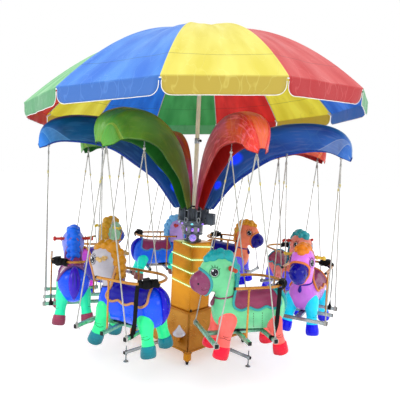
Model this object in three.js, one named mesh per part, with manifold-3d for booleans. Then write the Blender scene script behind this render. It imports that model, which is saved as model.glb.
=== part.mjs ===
// Chair swing ride: eight pony seats on rope slings under a striped umbrella, turning on a square cabinet.
// Millimetres, +Z up. The origin is on the floor, on the axis that the rotor turns about.
import * as THREE from "three";
import { mergeVertices } from "three/addons/utils/BufferGeometryUtils.js";
import Module from "manifold-3d";

const wasm = await Module();
wasm.setup();

// Driving dimensions
const GAP = 0.3;                       // air between pieces that touch

const CABINET = { side: 800, low: 105, rim: 14, neck: 290, shoulder: 325, plate: 304, high: 333 };
const LEG = { side: 50, inset: 3, low: 32 };
const CASTOR = { radius: 28, width: 26 };
const OUTRIGGER = { tube: 24, axisZ: 80, reach: 729, overhang: 22, screwRadius: 6, screwTop: 138 };
const OUTRIGGER_FOOT = { radius: 23, height: 16 };
const TOWER = { side: 260, high: 966 };
const STRIP = { radius: 4, quarters: 13, top: 944, pitch: 124 };
const NECK = { radius: 62, high: 1030 };
const LAMP = { radius: 37, reach: 148, collar: 18, centreZ: 1016 };
const BELL_LAMP = { x: 226, y: -340, rimZ: 209, radius: 47, height: 82, stem: 20 };

const HUB = { drum: 92, drumTop: 1128, flange: 134, flangeTop: 1150, boss: 62, bossTop: 1285 };
const BRACKET = { reach: 121, wall: 6, depth: 48, floor: 1165, top: 1282, slot: 29.6 };
const HUB_BOX = { arm: 3, reach: 178, depth: 70, width: 60, height: 105, middle: 1187 };
const POLE = { radius: 20, seat: 1170, top: 2842 };

const ARM_COUNT = 8;
const FIRST_ARM_DEG = -72.53;          // the arm whose pony stands left of the cabinet's front corner
const ARM_RADIUS = 12.5;               // half the width across flats of the arm tube
const HOOK = { inner: 859, outer: 1303, z: 1780, ball: 12, rod: 5 };
const SWING_CENTRE = (HOOK.inner + HOOK.outer) / 2;
const SLING_HALF = (HOOK.outer - HOOK.inner) / 2;
const ROPE = { radius: 3.6, knot: 9, footZ: 516.8 };

const BAR = { tube: 25, keel: 44, z: 495, half: 238, front: 216, middle: -20, rear: -216 };
const RAIL = { radius: 10, z: 858, half: 178, front: 85, rear: -345, post: 7 };
const PONY_SHIFT = -30;                // the pony's own middle, behind the middle of its sling

// Petal outline in the arm's upright plane: crown point, lower edge point, half width at the crown
const PETAL = [
  { crown: [94, 1300], edge: [188, 1278], half: 27 },
  { crown: [150, 1510], edge: [302, 1428], half: 36 },
  { crown: [232, 1670], edge: [410, 1555], half: 46 },
  { crown: [360, 1838], edge: [580, 1672], half: 58 },
  { crown: [560, 1968], edge: [770, 1776], half: 72 },
  { crown: [830, 2046], edge: [975, 1826], half: 85 },
  { crown: [1110, 2048], edge: [1145, 1829], half: 90 },
  { crown: [1280, 1996], edge: [1262, 1808], half: 86 },
  { crown: [1365, 1910], edge: [1322, 1780], half: 68 },
  { crown: [1386, 1790], edge: [1374, 1758], half: 24 },
];
const PETAL_SKIN = 4;
const ARM_DROP = PETAL_SKIN + 0.6 + ARM_RADIUS;   // from the petal's crown to the arm's middle

const UMBRELLA = { corners: 12, radius: 1500, fold: 2197, rise: 690, power: 2.15, skin: 4 };
const UMBRELLA_FIRST_DEG = 6;          // direction of one rib
const UMBRELLA_LEAN = 0.0633;          // rise per millimetre towards the high side
const UMBRELLA_LEAN_DEG = 45;
const VALANCE = { depth: 115, corner: 62, skin: 4, notch: 9 };
const RIB = { width: 8, height: 9, drop: 1.8, end: 1470 };
const RUNNER = { z: 2440, radius: 36, height: 50, reach: 760 };

// Finishes
const finish = (color, roughness, metalness = 0) => ({ color, roughness, metalness });
const GOLD = finish(0xb87a1c, 0.25, 0.3);
const STEEL = finish(0x8a8f94, 0.35, 0.8);
const PETAL_COLOURS = [0x3f7d1f, 0xc42a22, 0x1d4fa0, 0xb5202a, 0x3f7d1f, 0xc42a22, 0x3f7d1f, 0x064f8c];
const PONY_COLOURS = [0x1f5cf0, 0x6fcf97, 0xcf7ad8, 0xf08a80, 0xf08060, 0x2f6ff0, 0xc06ad0, 0x6f8cf0];

function addPart(group, name, geometry, look) {
  const mesh = new THREE.Mesh(geometry, new THREE.MeshStandardMaterial(look));
  mesh.name = name;
  group.add(mesh);
  return mesh;
}

// Solids: conversion to and from the boolean library
function bare(geometry) {
  const g = geometry.clone();
  g.deleteAttribute("normal");
  g.deleteAttribute("uv");
  return mergeVertices(g, 1e-4);
}

function solid(geometry) {
  const g = bare(geometry);
  const vertProperties = new Float32Array(g.attributes.position.array);
  const triVerts = new Uint32Array(g.index.array);
  return new wasm.Manifold(new wasm.Mesh({ numProp: 3, vertProperties, triVerts }));
}

function toGeometry(manifold) {
  const mesh = manifold.getMesh();
  const g = new THREE.BufferGeometry();
  g.setAttribute("position", new THREE.BufferAttribute(new Float32Array(mesh.vertProperties), 3));
  g.setIndex(new THREE.BufferAttribute(new Uint32Array(mesh.triVerts), 1));
  g.computeVertexNormals();
  return g;
}

const join = (geometries) => toGeometry(geometries.map(solid).reduce((a, b) => a.add(b)));
const cut = (geometry, tools) => toGeometry(tools.map(solid).reduce((a, b) => a.subtract(b), solid(geometry)));

// Simple shapes placed in space
const box = (sx, sy, sz, x, y, z) => new THREE.BoxGeometry(sx, sy, sz).translate(x, y, z);

function cylinder(radius, z0, z1, x = 0, y = 0, sides = 16, topRadius = radius) {
  const g = new THREE.CylinderGeometry(topRadius, radius, z1 - z0, sides);
  return g.rotateX(Math.PI / 2).translate(x, y, (z0 + z1) / 2);
}

// A rod between two points
function rod(from, to, radius, sides = 8, endRadius = radius) {
  const a = new THREE.Vector3(...from);
  const b = new THREE.Vector3(...to);
  const g = new THREE.CylinderGeometry(endRadius, radius, a.distanceTo(b), sides);
  const turn = new THREE.Quaternion().setFromUnitVectors(new THREE.Vector3(0, 1, 0), b.clone().sub(a).normalize());
  return g.applyQuaternion(turn).translate(...a.add(b).multiplyScalar(0.5).toArray());
}

// An ellipsoid, turned about the Y axis by a pitch
function egg(x, y, z, rx, ry, rz, pitch = 0, wide = 14, high = 10) {
  const g = new THREE.SphereGeometry(1, wide, high).rotateX(Math.PI / 2);
  return g.scale(rx, ry, rz).rotateY(pitch).translate(x, y, z);
}

// A lathe turned round Z from pairs of radius and height, which start and end on the axis
function lathe(pairs, sides = 24) {
  const points = pairs.map(([r, z]) => new THREE.Vector2(r, z));
  return new THREE.LatheGeometry(points, sides).rotateX(Math.PI / 2);
}

// A skin through a row of equal closed outlines, with flat ends
function loft(rings, capTriangles) {
  const n = rings[0].length;
  const position = rings.flat().flatMap((p) => p);
  const index = [];
  for (let i = 0; i < rings.length - 1; i += 1) {
    for (let j = 0; j < n; j += 1) {
      const a = i * n + j;
      const b = i * n + (j + 1) % n;
      index.push(a, b, b + n, a, b + n, a + n);
    }
  }
  const last = (rings.length - 1) * n;
  for (const [a, b, c] of capTriangles) {
    index.push(a, c, b, last + a, last + b, last + c);
  }
  const g = new THREE.BufferGeometry();
  g.setAttribute("position", new THREE.Float32BufferAttribute(position, 3));
  g.setIndex(index);
  return facingOut(g);
}

// Turns every triangle over if the volume comes out negative
function facingOut(g) {
  const p = g.attributes.position;
  const index = g.index.array;
  const v = [0, 1, 2].map(() => new THREE.Vector3());
  let volume = 0;
  for (let i = 0; i < index.length; i += 3) {
    v.forEach((corner, k) => corner.fromBufferAttribute(p, index[i + k]));
    volume += v[0].dot(v[1].clone().cross(v[2])) / 6;
  }
  if (volume < 0) {
    for (let i = 0; i < index.length; i += 3) {
      [index[i + 1], index[i + 2]] = [index[i + 2], index[i + 1]];
    }
  }
  g.computeVertexNormals();
  return g;
}

const fan = (n) => Array.from({ length: n - 2 }, (_, i) => [0, i + 1, i + 2]);

// A round bar along a row of points that lie in one upright plane, X along it
function barAlong(points, radius, sides = 8) {
  const rings = points.map((p, i) => {
    const before = points[Math.max(i - 1, 0)];
    const after = points[Math.min(i + 1, points.length - 1)];
    const along = new THREE.Vector3(after[0] - before[0], 0, after[1] - before[1]).normalize();
    const up = new THREE.Vector3(-along.z, 0, along.x);
    return Array.from({ length: sides }, (_, k) => {
      const a = (k + 0.5) / sides * 2 * Math.PI;
      const corner = radius / Math.cos(Math.PI / sides);
      return [p[0] + up.x * Math.cos(a) * corner, Math.sin(a) * corner, p[1] + up.z * Math.cos(a) * corner];
    });
  });
  return loft(rings, fan(sides));
}

// Base
function cabinetBox() {
  const { side, low, rim, neck, shoulder, plate, high } = CABINET;
  const skirt = cylinder(side * Math.SQRT1_2, low + rim, shoulder, 0, 0, 4, neck * Math.SQRT1_2).rotateZ(Math.PI / 4);
  const pieces = [
    box(side, side, rim + 1, 0, 0, low + (rim + 1) / 2),
    skirt,
    box(plate, plate, high - shoulder + 1, 0, 0, (high + shoulder - 1) / 2),
  ];
  const at = side / 2 - LEG.inset - LEG.side / 2;
  for (const [sx, sy] of [[1, 1], [1, -1], [-1, 1], [-1, -1]]) {
    pieces.push(box(LEG.side, LEG.side, low - LEG.low + 2, sx * at, sy * at, (low + LEG.low + 2) / 2));
    const wheel = new THREE.CylinderGeometry(CASTOR.radius, CASTOR.radius, CASTOR.width, 16);
    pieces.push(wheel.rotateZ(Math.PI / 2).rotateZ(Math.PI / 4).translate(sx * at, sy * at, CASTOR.radius));
  }
  return join(pieces);
}

function outriggerFrame() {
  const { tube, axisZ, reach, overhang, screwRadius, screwTop } = OUTRIGGER;
  const end = reach + overhang;
  const pieces = [
    box(2 * end, tube, tube, 0, 0, axisZ),
    box(tube, 2 * end, tube, 0, 0, axisZ),
  ];
  for (let i = 0; i < 4; i += 1) {
    const x = Math.round(Math.cos(i * Math.PI / 2));
    const y = Math.round(Math.sin(i * Math.PI / 2));
    const padZ = CABINET.low - GAP - axisZ;
    pieces.push(box(40, 40, padZ, 330 * x, 330 * y, axisZ + padZ / 2));
    pieces.push(cylinder(screwRadius, 6, screwTop, reach * x, reach * y, 6));
    const { radius, height } = OUTRIGGER_FOOT;
    const foot = lathe([[0, 0], [radius, 0], [radius, 4], [radius * 0.5, height * 0.7], [0, height]], 8);
    pieces.push(foot.translate(reach * x, reach * y, 0));
  }
  return join(pieces);
}

function cabinetTower() {
  const low = CABINET.high + GAP;
  return box(TOWER.side, TOWER.side, TOWER.high - low, 0, 0, (TOWER.high + low) / 2);
}

// The light strip starts in the middle of one face and winds down round the tower
function lightStrip() {
  const reach = TOWER.side / 2 + GAP + STRIP.radius;
  const corners = [[1, -1], [1, 1], [-1, 1], [-1, -1]];
  const ring = (cx, cy, z) => {
    const outward = new THREE.Vector3(cx, cy, 0);
    return Array.from({ length: 6 }, (_, k) => {
      const a = k / 6 * 2 * Math.PI;
      const out = STRIP.radius * Math.cos(a);
      return [cx * reach + outward.x * out, cy * reach + outward.y * out, z + STRIP.radius * Math.sin(a)];
    });
  };
  const rings = [ring(0, -1, STRIP.top + STRIP.pitch / 8)];
  for (let i = 0; i <= STRIP.quarters; i += 1) {
    rings.push(ring(...corners[i % 4], STRIP.top - STRIP.pitch * i / 4));
  }
  return loft(rings, fan(6));
}

function driveNeck() {
  const low = TOWER.high + GAP;
  return join([cylinder(NECK.radius, low, NECK.high), cylinder(NECK.radius + 20, low, low + 14)]);
}

function ballLamp() {
  const low = TOWER.high + GAP;
  const { radius, collar, centreZ } = LAMP;
  return join([egg(0, 0, centreZ, radius, radius, radius, 0, 12, 8), cylinder(collar, low, centreZ - radius + 8, 0, 0, 12)]);
}

// The clear lamp stands upright on the skirt, so its stem is cut off along the slope
function bellLamp() {
  const { x, y, rimZ, radius, height, stem } = BELL_LAMP;
  const bell = lathe([
    [0, -100], [stem, -100], [stem, -4], [radius - 3, 0], [radius, 8], [radius * 0.76, 20], [radius * 0.53, 40],
    [radius * 0.34, 60], [radius * 0.2, 75], [0, height],
  ], 12).translate(x, y, rimZ);
  const run = (CABINET.side - CABINET.neck) / 2;
  const slope = Math.atan2(CABINET.shoulder - CABINET.low - CABINET.rim, run);
  const under = box(400, 600, 300, 0, 0, -150 + GAP).rotateX(slope);
  under.translate(x, -CABINET.side / 2, CABINET.low + CABINET.rim);
  return cut(bell, [under]);
}

// Rotor
function hub() {
  const low = NECK.high + GAP;
  const { drum, drumTop, flange, flangeTop, boss, bossTop } = HUB;
  const pieces = [
    cylinder(drum, low, drumTop + 2, 0, 0, 16),
    cylinder(flange, drumTop, flangeTop, 0, 0, 24),
    cylinder(flange - 6, flangeTop - 2, BRACKET.floor, 0, 0, 24),
    cylinder(boss, flangeTop, bossTop, 0, 0, 16),
  ];
  const { reach, wall, depth, floor, top, slot } = BRACKET;
  for (let i = 0; i < ARM_COUNT; i += 1) {
    const turn = THREE.MathUtils.degToRad(FIRST_ARM_DEG + 45 * i);
    for (const side of [-1, 1]) {
      const cheek = box(depth, wall, top - floor + 4, reach, side * (slot + wall) / 2, (top + floor) / 2 - 2);
      pieces.push(cheek.rotateZ(turn));
    }
    const back = box(34, slot + 2 * wall, top - floor + 4, reach - depth / 2 - 17, 0, (top + floor) / 2 - 2);
    pieces.push(back.rotateZ(turn));
  }
  const controls = box(HUB_BOX.depth, HUB_BOX.width, HUB_BOX.height, HUB_BOX.reach, 0, HUB_BOX.middle);
  pieces.push(controls.rotateZ(THREE.MathUtils.degToRad(FIRST_ARM_DEG + 45 * (HUB_BOX.arm - 1))));
  const bore = cylinder(POLE.radius + 0.5, POLE.seat - GAP, bossTop + 10, 0, 0, 16);
  return cut(join(pieces), [bore]);
}

const umbrellaPole = () => cylinder(POLE.radius, POLE.seat, POLE.top, 0, 0, 16);

// Points under the petal's crown, pushed towards its lower edge
function underCrown(distance) {
  return PETAL.map(({ crown, edge }, i) => {
    const before = PETAL[Math.max(i - 1, 0)].crown;
    const after = PETAL[Math.min(i + 1, PETAL.length - 1)].crown;
    const along = new THREE.Vector2(after[0] - before[0], after[1] - before[1]).normalize();
    return [crown[0] + along.y * distance, crown[1] - along.x * distance];
  });
}

function arm() {
  const line = underCrown(ARM_DROP).slice(0, 9);
  const foot = [[line[0][0], BRACKET.floor + GAP], [line[0][0], BRACKET.top]];
  const tube = barAlong([...foot, ...line], ARM_RADIUS, 6);
  const pieces = [tube];
  for (const reach of [HOOK.inner, HOOK.outer]) {
    const k = line.findIndex((p) => p[0] > reach);
    const t = (reach - line[k - 1][0]) / (line[k][0] - line[k - 1][0]);
    const z = line[k - 1][1] + t * (line[k][1] - line[k - 1][1]);
    pieces.push(cylinder(HOOK.rod, HOOK.z + HOOK.ball + GAP, z, reach, 0, 6));
  }
  return join(pieces);
}

// The petal is a folded leaf: a crown strip with a flap down each side, closed at the tip
function petal() {
  const rings = PETAL.map(({ crown, edge, half }, i) => {
    const drop = new THREE.Vector2(edge[0] - crown[0], edge[1] - crown[1]);
    const before = PETAL[Math.max(i - 1, 0)].crown;
    const after = PETAL[Math.min(i + 1, PETAL.length - 1)].crown;
    const along = new THREE.Vector2(after[0] - before[0], after[1] - before[1]).normalize();
    const skinR = along.y * PETAL_SKIN;
    const skinZ = -along.x * PETAL_SKIN;
    const at = (across, depth) => [crown[0] + drop.x * depth, across * half, crown[1] + drop.y * depth];
    const outer = [[-1.06, 1], [-0.94, 0.2], [-0.45, 0], [0.45, 0], [0.94, 0.2], [1.06, 1]];
    const inset = (half - PETAL_SKIN) / half;
    const outside = outer.map(([a, d]) => at(a, d));
    const inside = outer.map(([a, d]) => {
      const p = at(a * inset, d);
      const fade = d < 1 ? 1 : 0;
      return [p[0] + skinR * fade, p[1], p[2] + skinZ * fade];
    });
    return [...outside, ...inside.reverse()];
  });
  const caps = [];
  for (let k = 0; k < 5; k += 1) {
    caps.push([k, k + 1, 10 - k], [k, 10 - k, 11 - k]);
  }
  return loft(rings, caps);
}

// Slings: one V of rope from a hook to the ends of the front and rear bars
function ropes(reach) {
  const top = [0, reach, HOOK.z];
  const pieces = [new THREE.OctahedronGeometry(HOOK.ball, 1).translate(...top)];
  for (const x of [BAR.front, BAR.rear]) {
    pieces.push(rod([x, reach, ROPE.footZ], top, ROPE.radius, 5));
    pieces.push(new THREE.OctahedronGeometry(ROPE.knot, 0).translate(x, reach, ROPE.footZ));
  }
  return join(pieces);
}

// The guard rail is open at the pony's neck and round behind the rider
class RailCurve extends THREE.Curve {
  getPoint(t, target = new THREE.Vector3()) {
    const straight = RAIL.front - RAIL.rear - RAIL.half;
    const round = Math.PI * RAIL.half;
    const s = t * (2 * straight + round);
    const turnX = RAIL.rear + RAIL.half;
    if (s < straight) return target.set(RAIL.front - s, RAIL.half, 0);
    if (s > straight + round) return target.set(turnX + s - straight - round, -RAIL.half, 0);
    const a = (s - straight) / RAIL.half;
    return target.set(turnX - RAIL.half * Math.sin(a), RAIL.half * Math.cos(a), 0);
  }
}

function guardRail() {
  const section = new THREE.Shape();
  for (let k = 0; k < 6; k += 1) {
    const a = (k + 0.5) / 6 * 2 * Math.PI;
    const point = [RAIL.radius * Math.cos(a), RAIL.radius * Math.sin(a)];
    if (k === 0) section.moveTo(...point);
    else section.lineTo(...point);
  }
  const g = new THREE.ExtrudeGeometry(section, { steps: 14, bevelEnabled: false, extrudePath: new RailCurve() });
  return g.translate(0, SWING_CENTRE, RAIL.z);
}

function seatFrame() {
  const pieces = [guardRail()];
  for (const x of [BAR.front, BAR.middle, BAR.rear]) {
    pieces.push(box(BAR.tube, 2 * BAR.half, BAR.tube, x, SWING_CENTRE, BAR.z));
  }
  pieces.push(box(BAR.front - BAR.rear + BAR.tube, BAR.keel, BAR.tube - 4, 0, SWING_CENTRE, BAR.z));
  for (const side of [-1, 1]) {
    const post = SWING_CENTRE + side * RAIL.half;
    pieces.push(cylinder(RAIL.post, BAR.z, RAIL.z, BAR.middle, post, 6));
  }
  return join(pieces);
}

// Pony: X forward, Y across, standing over the middle of its sling
function barrel() {
  const profile = [[0, -352], [84, -334], [136, -262], [143, -150], [137, -20], [134, 90], [84, 172], [0, 200]];
  return lathe(profile, 9).rotateY(Math.PI / 2).scale(1, 0.86, 1).translate(0, 0, 652);
}

// A leg tapers to the fetlock and widens again to the hoof
function leg(top, foot) {
  const axis = new THREE.Vector3(...top).sub(new THREE.Vector3(...foot));
  const rings = [[0, 60], [0.3, 55], [0.3, 48], [1, 72]].map(([share, radius]) => {
    const middle = new THREE.Vector3(...foot).addScaledVector(axis, share);
    return Array.from({ length: 7 }, (_, k) => {
      const a = k / 7 * 2 * Math.PI;
      return [middle.x + radius * Math.cos(a), middle.y + radius * Math.sin(a), middle.z - (share === 0.3 && radius > 50 ? 3 : 0)];
    });
  });
  return loft(rings, fan(7));
}

function pony() {
  const crest = [[272, 1030], [205, 1066], [110, 1058], [46, 960], [52, 820]];
  const pieces = [
    barrel(),
    rod([92, 0, 640], [128, 0, 868], 118, 7, 62),
    egg(188, 0, 932, 152, 98, 122, 0.25, 9, 6),
    egg(292, 0, 858, 84, 72, 88, 0.3, 7, 5),
    rod([118, -172, 978], [118, 172, 978], 14, 5),
    egg(-335, 0, 672, 42, 34, 112, 0.22, 5, 4),
    barAlong(crest, 42, 5),
    box(120, 90, 60, BAR.middle - PONY_SHIFT, 0, BAR.z + BAR.tube / 2 + GAP + 30),
  ];
  for (const side of [-1, 1]) {
    pieces.push(leg([108, side * 74, 625], [168, side * 116, 352]));
    pieces.push(leg([-240, side * 76, 620], [-306, side * 116, 352]));
  }
  return join(pieces).translate(PONY_SHIFT, SWING_CENTRE, 0);
}

// Umbrella
const domeHeight = (share) => UMBRELLA.fold + UMBRELLA.rise * (1 - share ** UMBRELLA.power);
const DOME_SHARES = [1, 0.86, 0.64, 0.34];

// The height of the flat facets between the rings of the dome
function facetHeight(share) {
  const rings = [...DOME_SHARES, 0];
  const k = rings.findIndex((s) => s <= share);
  if (rings[k] === share) return domeHeight(share);
  const t = (share - rings[k]) / (rings[k - 1] - rings[k]);
  return domeHeight(rings[k]) * (1 - t) + domeHeight(rings[k - 1]) * t;
}

function leaning(geometry) {
  const p = geometry.attributes.position;
  const a = THREE.MathUtils.degToRad(UMBRELLA_LEAN_DEG);
  for (let i = 0; i < p.count; i += 1) {
    const along = p.getX(i) * Math.cos(a) + p.getY(i) * Math.sin(a);
    p.setZ(i, p.getZ(i) + UMBRELLA_LEAN * along);
  }
  geometry.computeVertexNormals();
  return geometry;
}

const ribAngle = (i) => THREE.MathUtils.degToRad(UMBRELLA_FIRST_DEG + 360 / UMBRELLA.corners * i);

function domeShell() {
  const n = UMBRELLA.corners;
  const position = [];
  const index = [];
  for (const drop of [0, UMBRELLA.skin]) {
    for (const share of DOME_SHARES) {
      for (let i = 0; i < n; i += 1) {
        const r = UMBRELLA.radius * share;
        position.push(r * Math.cos(ribAngle(i)), r * Math.sin(ribAngle(i)), domeHeight(share) - drop);
      }
    }
    position.push(0, 0, domeHeight(0) - drop);
  }
  const layer = DOME_SHARES.length * n + 1;
  for (const side of [0, 1]) {
    const at = (ring, i) => side * layer + ring * n + i % n;
    const tri = (a, b, c) => index.push(...(side ? [a, c, b] : [a, b, c]));
    for (let i = 0; i < n; i += 1) {
      for (let ring = 0; ring < DOME_SHARES.length - 1; ring += 1) {
        tri(at(ring, i), at(ring, i + 1), at(ring + 1, i + 1));
        tri(at(ring, i), at(ring + 1, i + 1), at(ring + 1, i));
      }
      tri(at(DOME_SHARES.length - 1, i), at(DOME_SHARES.length - 1, i + 1), side * layer + layer - 1);
    }
  }
  for (let i = 0; i < n; i += 1) {
    const j = (i + 1) % n;
    index.push(i, layer + i, layer + j, i, layer + j, j);
  }
  const g = new THREE.BufferGeometry();
  g.setAttribute("position", new THREE.Float32BufferAttribute(position, 3));
  g.setIndex(index);
  return facingOut(g);
}

// One valance panel hangs from each side of the rim, with round lower corners
function valancePanel(i) {
  const { depth, corner, skin, notch } = VALANCE;
  const half = UMBRELLA.radius * Math.sin(Math.PI / UMBRELLA.corners) - notch;
  const outline = new THREE.Shape();
  outline.moveTo(-half, -1);
  outline.lineTo(-half, -depth + corner);
  for (const a of [30, 60, 90]) {
    const t = THREE.MathUtils.degToRad(a);
    outline.lineTo(-half + corner * (1 - Math.cos(t)), -depth + corner * (1 - Math.sin(t)));
  }
  for (const a of [90, 60, 30, 0]) {
    const t = THREE.MathUtils.degToRad(a);
    outline.lineTo(half - corner * (1 - Math.cos(t)), -depth + corner * (1 - Math.sin(t)));
  }
  outline.lineTo(half, -1);
  const g = new THREE.ExtrudeGeometry(outline, { depth: skin, bevelEnabled: false });
  const reach = UMBRELLA.radius * Math.cos(Math.PI / UMBRELLA.corners) - skin - 0.5;
  g.rotateX(Math.PI / 2).rotateZ(Math.PI / 2).translate(reach, 0, UMBRELLA.fold);
  return g.rotateZ(ribAngle(i) + Math.PI / UMBRELLA.corners);
}

function canopy() {
  const panels = Array.from({ length: UMBRELLA.corners }, (_, i) => valancePanel(i));
  return leaning(join([domeShell(), ...panels]));
}

function umbrellaFrame() {
  const drop = UMBRELLA.skin + RIB.drop;
  const top = domeHeight(0) - drop;
  const pieces = [
    cylinder(46, top - 70, top - 8, 0, 0, 16),
    cylinder(RUNNER.radius, RUNNER.z - RUNNER.height / 2, RUNNER.z + RUNNER.height / 2, 0, 0, 16),
  ];
  const shares = [0.02, 0.34, 0.64, 0.86, RIB.end / UMBRELLA.radius];
  for (let i = 0; i < UMBRELLA.corners; i += 1) {
    const rings = shares.map((share) => {
      const r = UMBRELLA.radius * share;
      const z = facetHeight(share) - drop;
      const w = RIB.width / 2;
      return [[r, -w, z], [r, w, z], [r, w, z - RIB.height], [r, -w, z - RIB.height]];
    });
    pieces.push(loft(rings, fan(4)).rotateZ(ribAngle(i)));
    const share = RUNNER.reach / UMBRELLA.radius;
    const z = facetHeight(share) - drop - RIB.height - 1;
    const stay = rod([RUNNER.radius - 8, 0, RUNNER.z], [RUNNER.reach, 0, z], 6, 4);
    pieces.push(stay.rotateZ(ribAngle(i)));
  }
  const bore = cylinder(POLE.radius + 0.6, RUNNER.z - 100, POLE.top + GAP + 1.4, 0, 0, 16);
  return leaning(cut(join(pieces), [bore]));
}

// Assembly
const group = new THREE.Group();

addPart(group, "cabinet_box", cabinetBox(), GOLD);
addPart(group, "outrigger_frame", outriggerFrame(), STEEL);
addPart(group, "cabinet_tower", cabinetTower(), GOLD);
addPart(group, "light_strip", lightStrip(), finish(0xffffff, 0.4));
addPart(group, "drive_neck", driveNeck(), STEEL);
const lamp = addPart(group, "ball_lamp", ballLamp(), finish(0xc9b8f0, 0.1));
lamp.position.set(LAMP.reach * Math.SQRT1_2, -LAMP.reach * Math.SQRT1_2, 0);
addPart(group, "bell_lamp", bellLamp(), finish(0xdfe8f0, 0.1));

addPart(group, "hub", hub(), STEEL);
addPart(group, "umbrella_pole", umbrellaPole(), finish(0xeee8d0, 0.4, 0.1));
addPart(group, "umbrella_frame", umbrellaFrame(), finish(0xd8d8d8, 0.4, 0.5));
addPart(group, "canopy", canopy(), finish(0xe0c020, 0.6));

for (let i = 0; i < ARM_COUNT; i += 1) {
  const turn = THREE.MathUtils.degToRad(FIRST_ARM_DEG + 45 * i);
  const radial = new THREE.Group();
  radial.rotation.z = turn;
  group.add(radial);
  addPart(radial, `arm_${i + 1}`, arm(), STEEL);
  addPart(radial, `petal_${i + 1}`, petal(), finish(PETAL_COLOURS[i], 0.25));

  const unit = new THREE.Group();
  unit.rotation.z = turn - Math.PI / 2;
  group.add(unit);
  addPart(unit, `inner_ropes_${i + 1}`, ropes(HOOK.inner), finish(0xe8e4d8, 0.9));
  addPart(unit, `outer_ropes_${i + 1}`, ropes(HOOK.outer), finish(0xe8e4d8, 0.9));
  addPart(unit, `seat_frame_${i + 1}`, seatFrame(), STEEL);
  addPart(unit, `pony_${i + 1}`, pony(), finish(PONY_COLOURS[i], 0.3));
}

export default group;
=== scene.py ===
# %% [markdown]
# # A chair swing ride
# Eight pony seats hang on rope slings from eight arms. A striped umbrella stands over them, and the gold cabinet with
# its tower carries the lot. The measured solids of the ride are loaded first, as a fixed frame in metres with Z up.
# Every piece that is modelled below takes the place of one of those solids, or lies on one, so nothing has to be
# fitted by eye. Loading a frame first is a good habit: scale and position stay settled while the looks change.

# %% Load the frame
from math import atan2, cos, hypot, pi, radians, sin, sqrt

import bmesh
import bpy
from mathutils import Matrix, Vector, noise
from mathutils.bvhtree import BVHTree


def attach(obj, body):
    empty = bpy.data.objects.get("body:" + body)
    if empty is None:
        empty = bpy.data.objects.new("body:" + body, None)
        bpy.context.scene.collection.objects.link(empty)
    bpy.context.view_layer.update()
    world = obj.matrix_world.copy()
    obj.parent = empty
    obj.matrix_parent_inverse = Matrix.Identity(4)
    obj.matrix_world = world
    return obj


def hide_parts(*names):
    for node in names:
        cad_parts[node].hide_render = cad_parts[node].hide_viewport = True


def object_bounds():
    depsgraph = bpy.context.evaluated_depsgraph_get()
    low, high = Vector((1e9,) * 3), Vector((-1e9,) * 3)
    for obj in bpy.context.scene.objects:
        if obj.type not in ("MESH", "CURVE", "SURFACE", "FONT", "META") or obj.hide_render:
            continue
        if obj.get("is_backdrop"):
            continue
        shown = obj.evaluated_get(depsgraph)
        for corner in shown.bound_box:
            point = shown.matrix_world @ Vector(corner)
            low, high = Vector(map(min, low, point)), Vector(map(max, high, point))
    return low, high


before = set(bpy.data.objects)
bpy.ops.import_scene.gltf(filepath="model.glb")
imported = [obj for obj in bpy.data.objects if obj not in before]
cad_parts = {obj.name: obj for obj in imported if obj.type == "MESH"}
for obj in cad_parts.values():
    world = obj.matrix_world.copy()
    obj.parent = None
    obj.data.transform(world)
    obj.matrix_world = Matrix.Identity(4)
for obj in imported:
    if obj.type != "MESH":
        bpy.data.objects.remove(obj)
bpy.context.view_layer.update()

# %% [markdown]
# ## Camera
# The camera stands as tall as an adult, a little over four metres from the pole, and looks down by four degrees. The
# lens follows from the width of the picture: a 36 mm sensor and a 39 mm lens see what the photograph shows. The small
# roll at the end is the tilt of a camera that is held by hand.

# %% Camera
camera_data = bpy.data.cameras.new("camera")
camera_data.sensor_width = 36
camera_data.lens = 38.97
camera = bpy.data.objects.new("camera", camera_data)
turn = Matrix.Rotation(radians(44.26), 4, "Z") @ Matrix.Rotation(radians(90 - 4.03), 4, "X")
camera.matrix_world = Matrix.Translation((2.873, -2.873, 1.641)) @ turn @ Matrix.Rotation(radians(2.67), 4, "Z")
bpy.context.scene.collection.objects.link(camera)
bpy.context.scene.camera = camera
print("Camera at", [round(c, 2) for c in camera.location], "lens", round(camera_data.lens, 2))

# %% [markdown]
# ## Light and floor
# Toys like this are photographed in a bright white studio, so that their colours look as clean as paint. A white
# world gives light from everywhere, and three large soft lamps add the highlights that make lacquer look wet. The
# plain view transform keeps strong colours strong, where a film-like one would soften them.

# %% Light
scene = bpy.context.scene
scene.view_settings.view_transform = "Standard"
world = bpy.data.worlds.new("white_studio")
scene.world = world
world.use_nodes = True
world.node_tree.nodes["Background"].inputs["Color"].default_value = (1.0, 1.0, 1.0, 1.0)
world.node_tree.nodes["Background"].inputs["Strength"].default_value = 1.0


def soft_lamp(name, place, aim, size, power):
    """A square studio lamp that points at a place."""
    data = bpy.data.lights.new(name, "AREA")
    data.size = size
    data.energy = power
    lamp = bpy.data.objects.new(name, data)
    lamp.location = place
    lamp.rotation_euler = (Vector(aim) - Vector(place)).to_track_quat("-Z", "Y").to_euler()
    scene.collection.objects.link(lamp)
    return lamp


soft_lamp("key_light", (-0.5, -6.5, 5.0), (0, 0, 1.0), 2.6, 95)
soft_lamp("side_light", (6.5, 1.5, 3.4), (0, 0, 1.0), 2.2, 50)
soft_lamp("high_light", (2.0, -2.0, 7.0), (0, 0, 1.5), 3.0, 40)
print("Three soft lamps and a white world")

# %% [markdown]
# ## Small tools
# A shape here is a bmesh: a mesh that is edited in memory and is written to an object only when it is done. Most
# parts are either turned on a lathe, cut from a rounded box, or swept along a line. So there is one helper for each
# of these ways. They use Blender's own operators for it: spin, bevel, and extrude from a circle.


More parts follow.
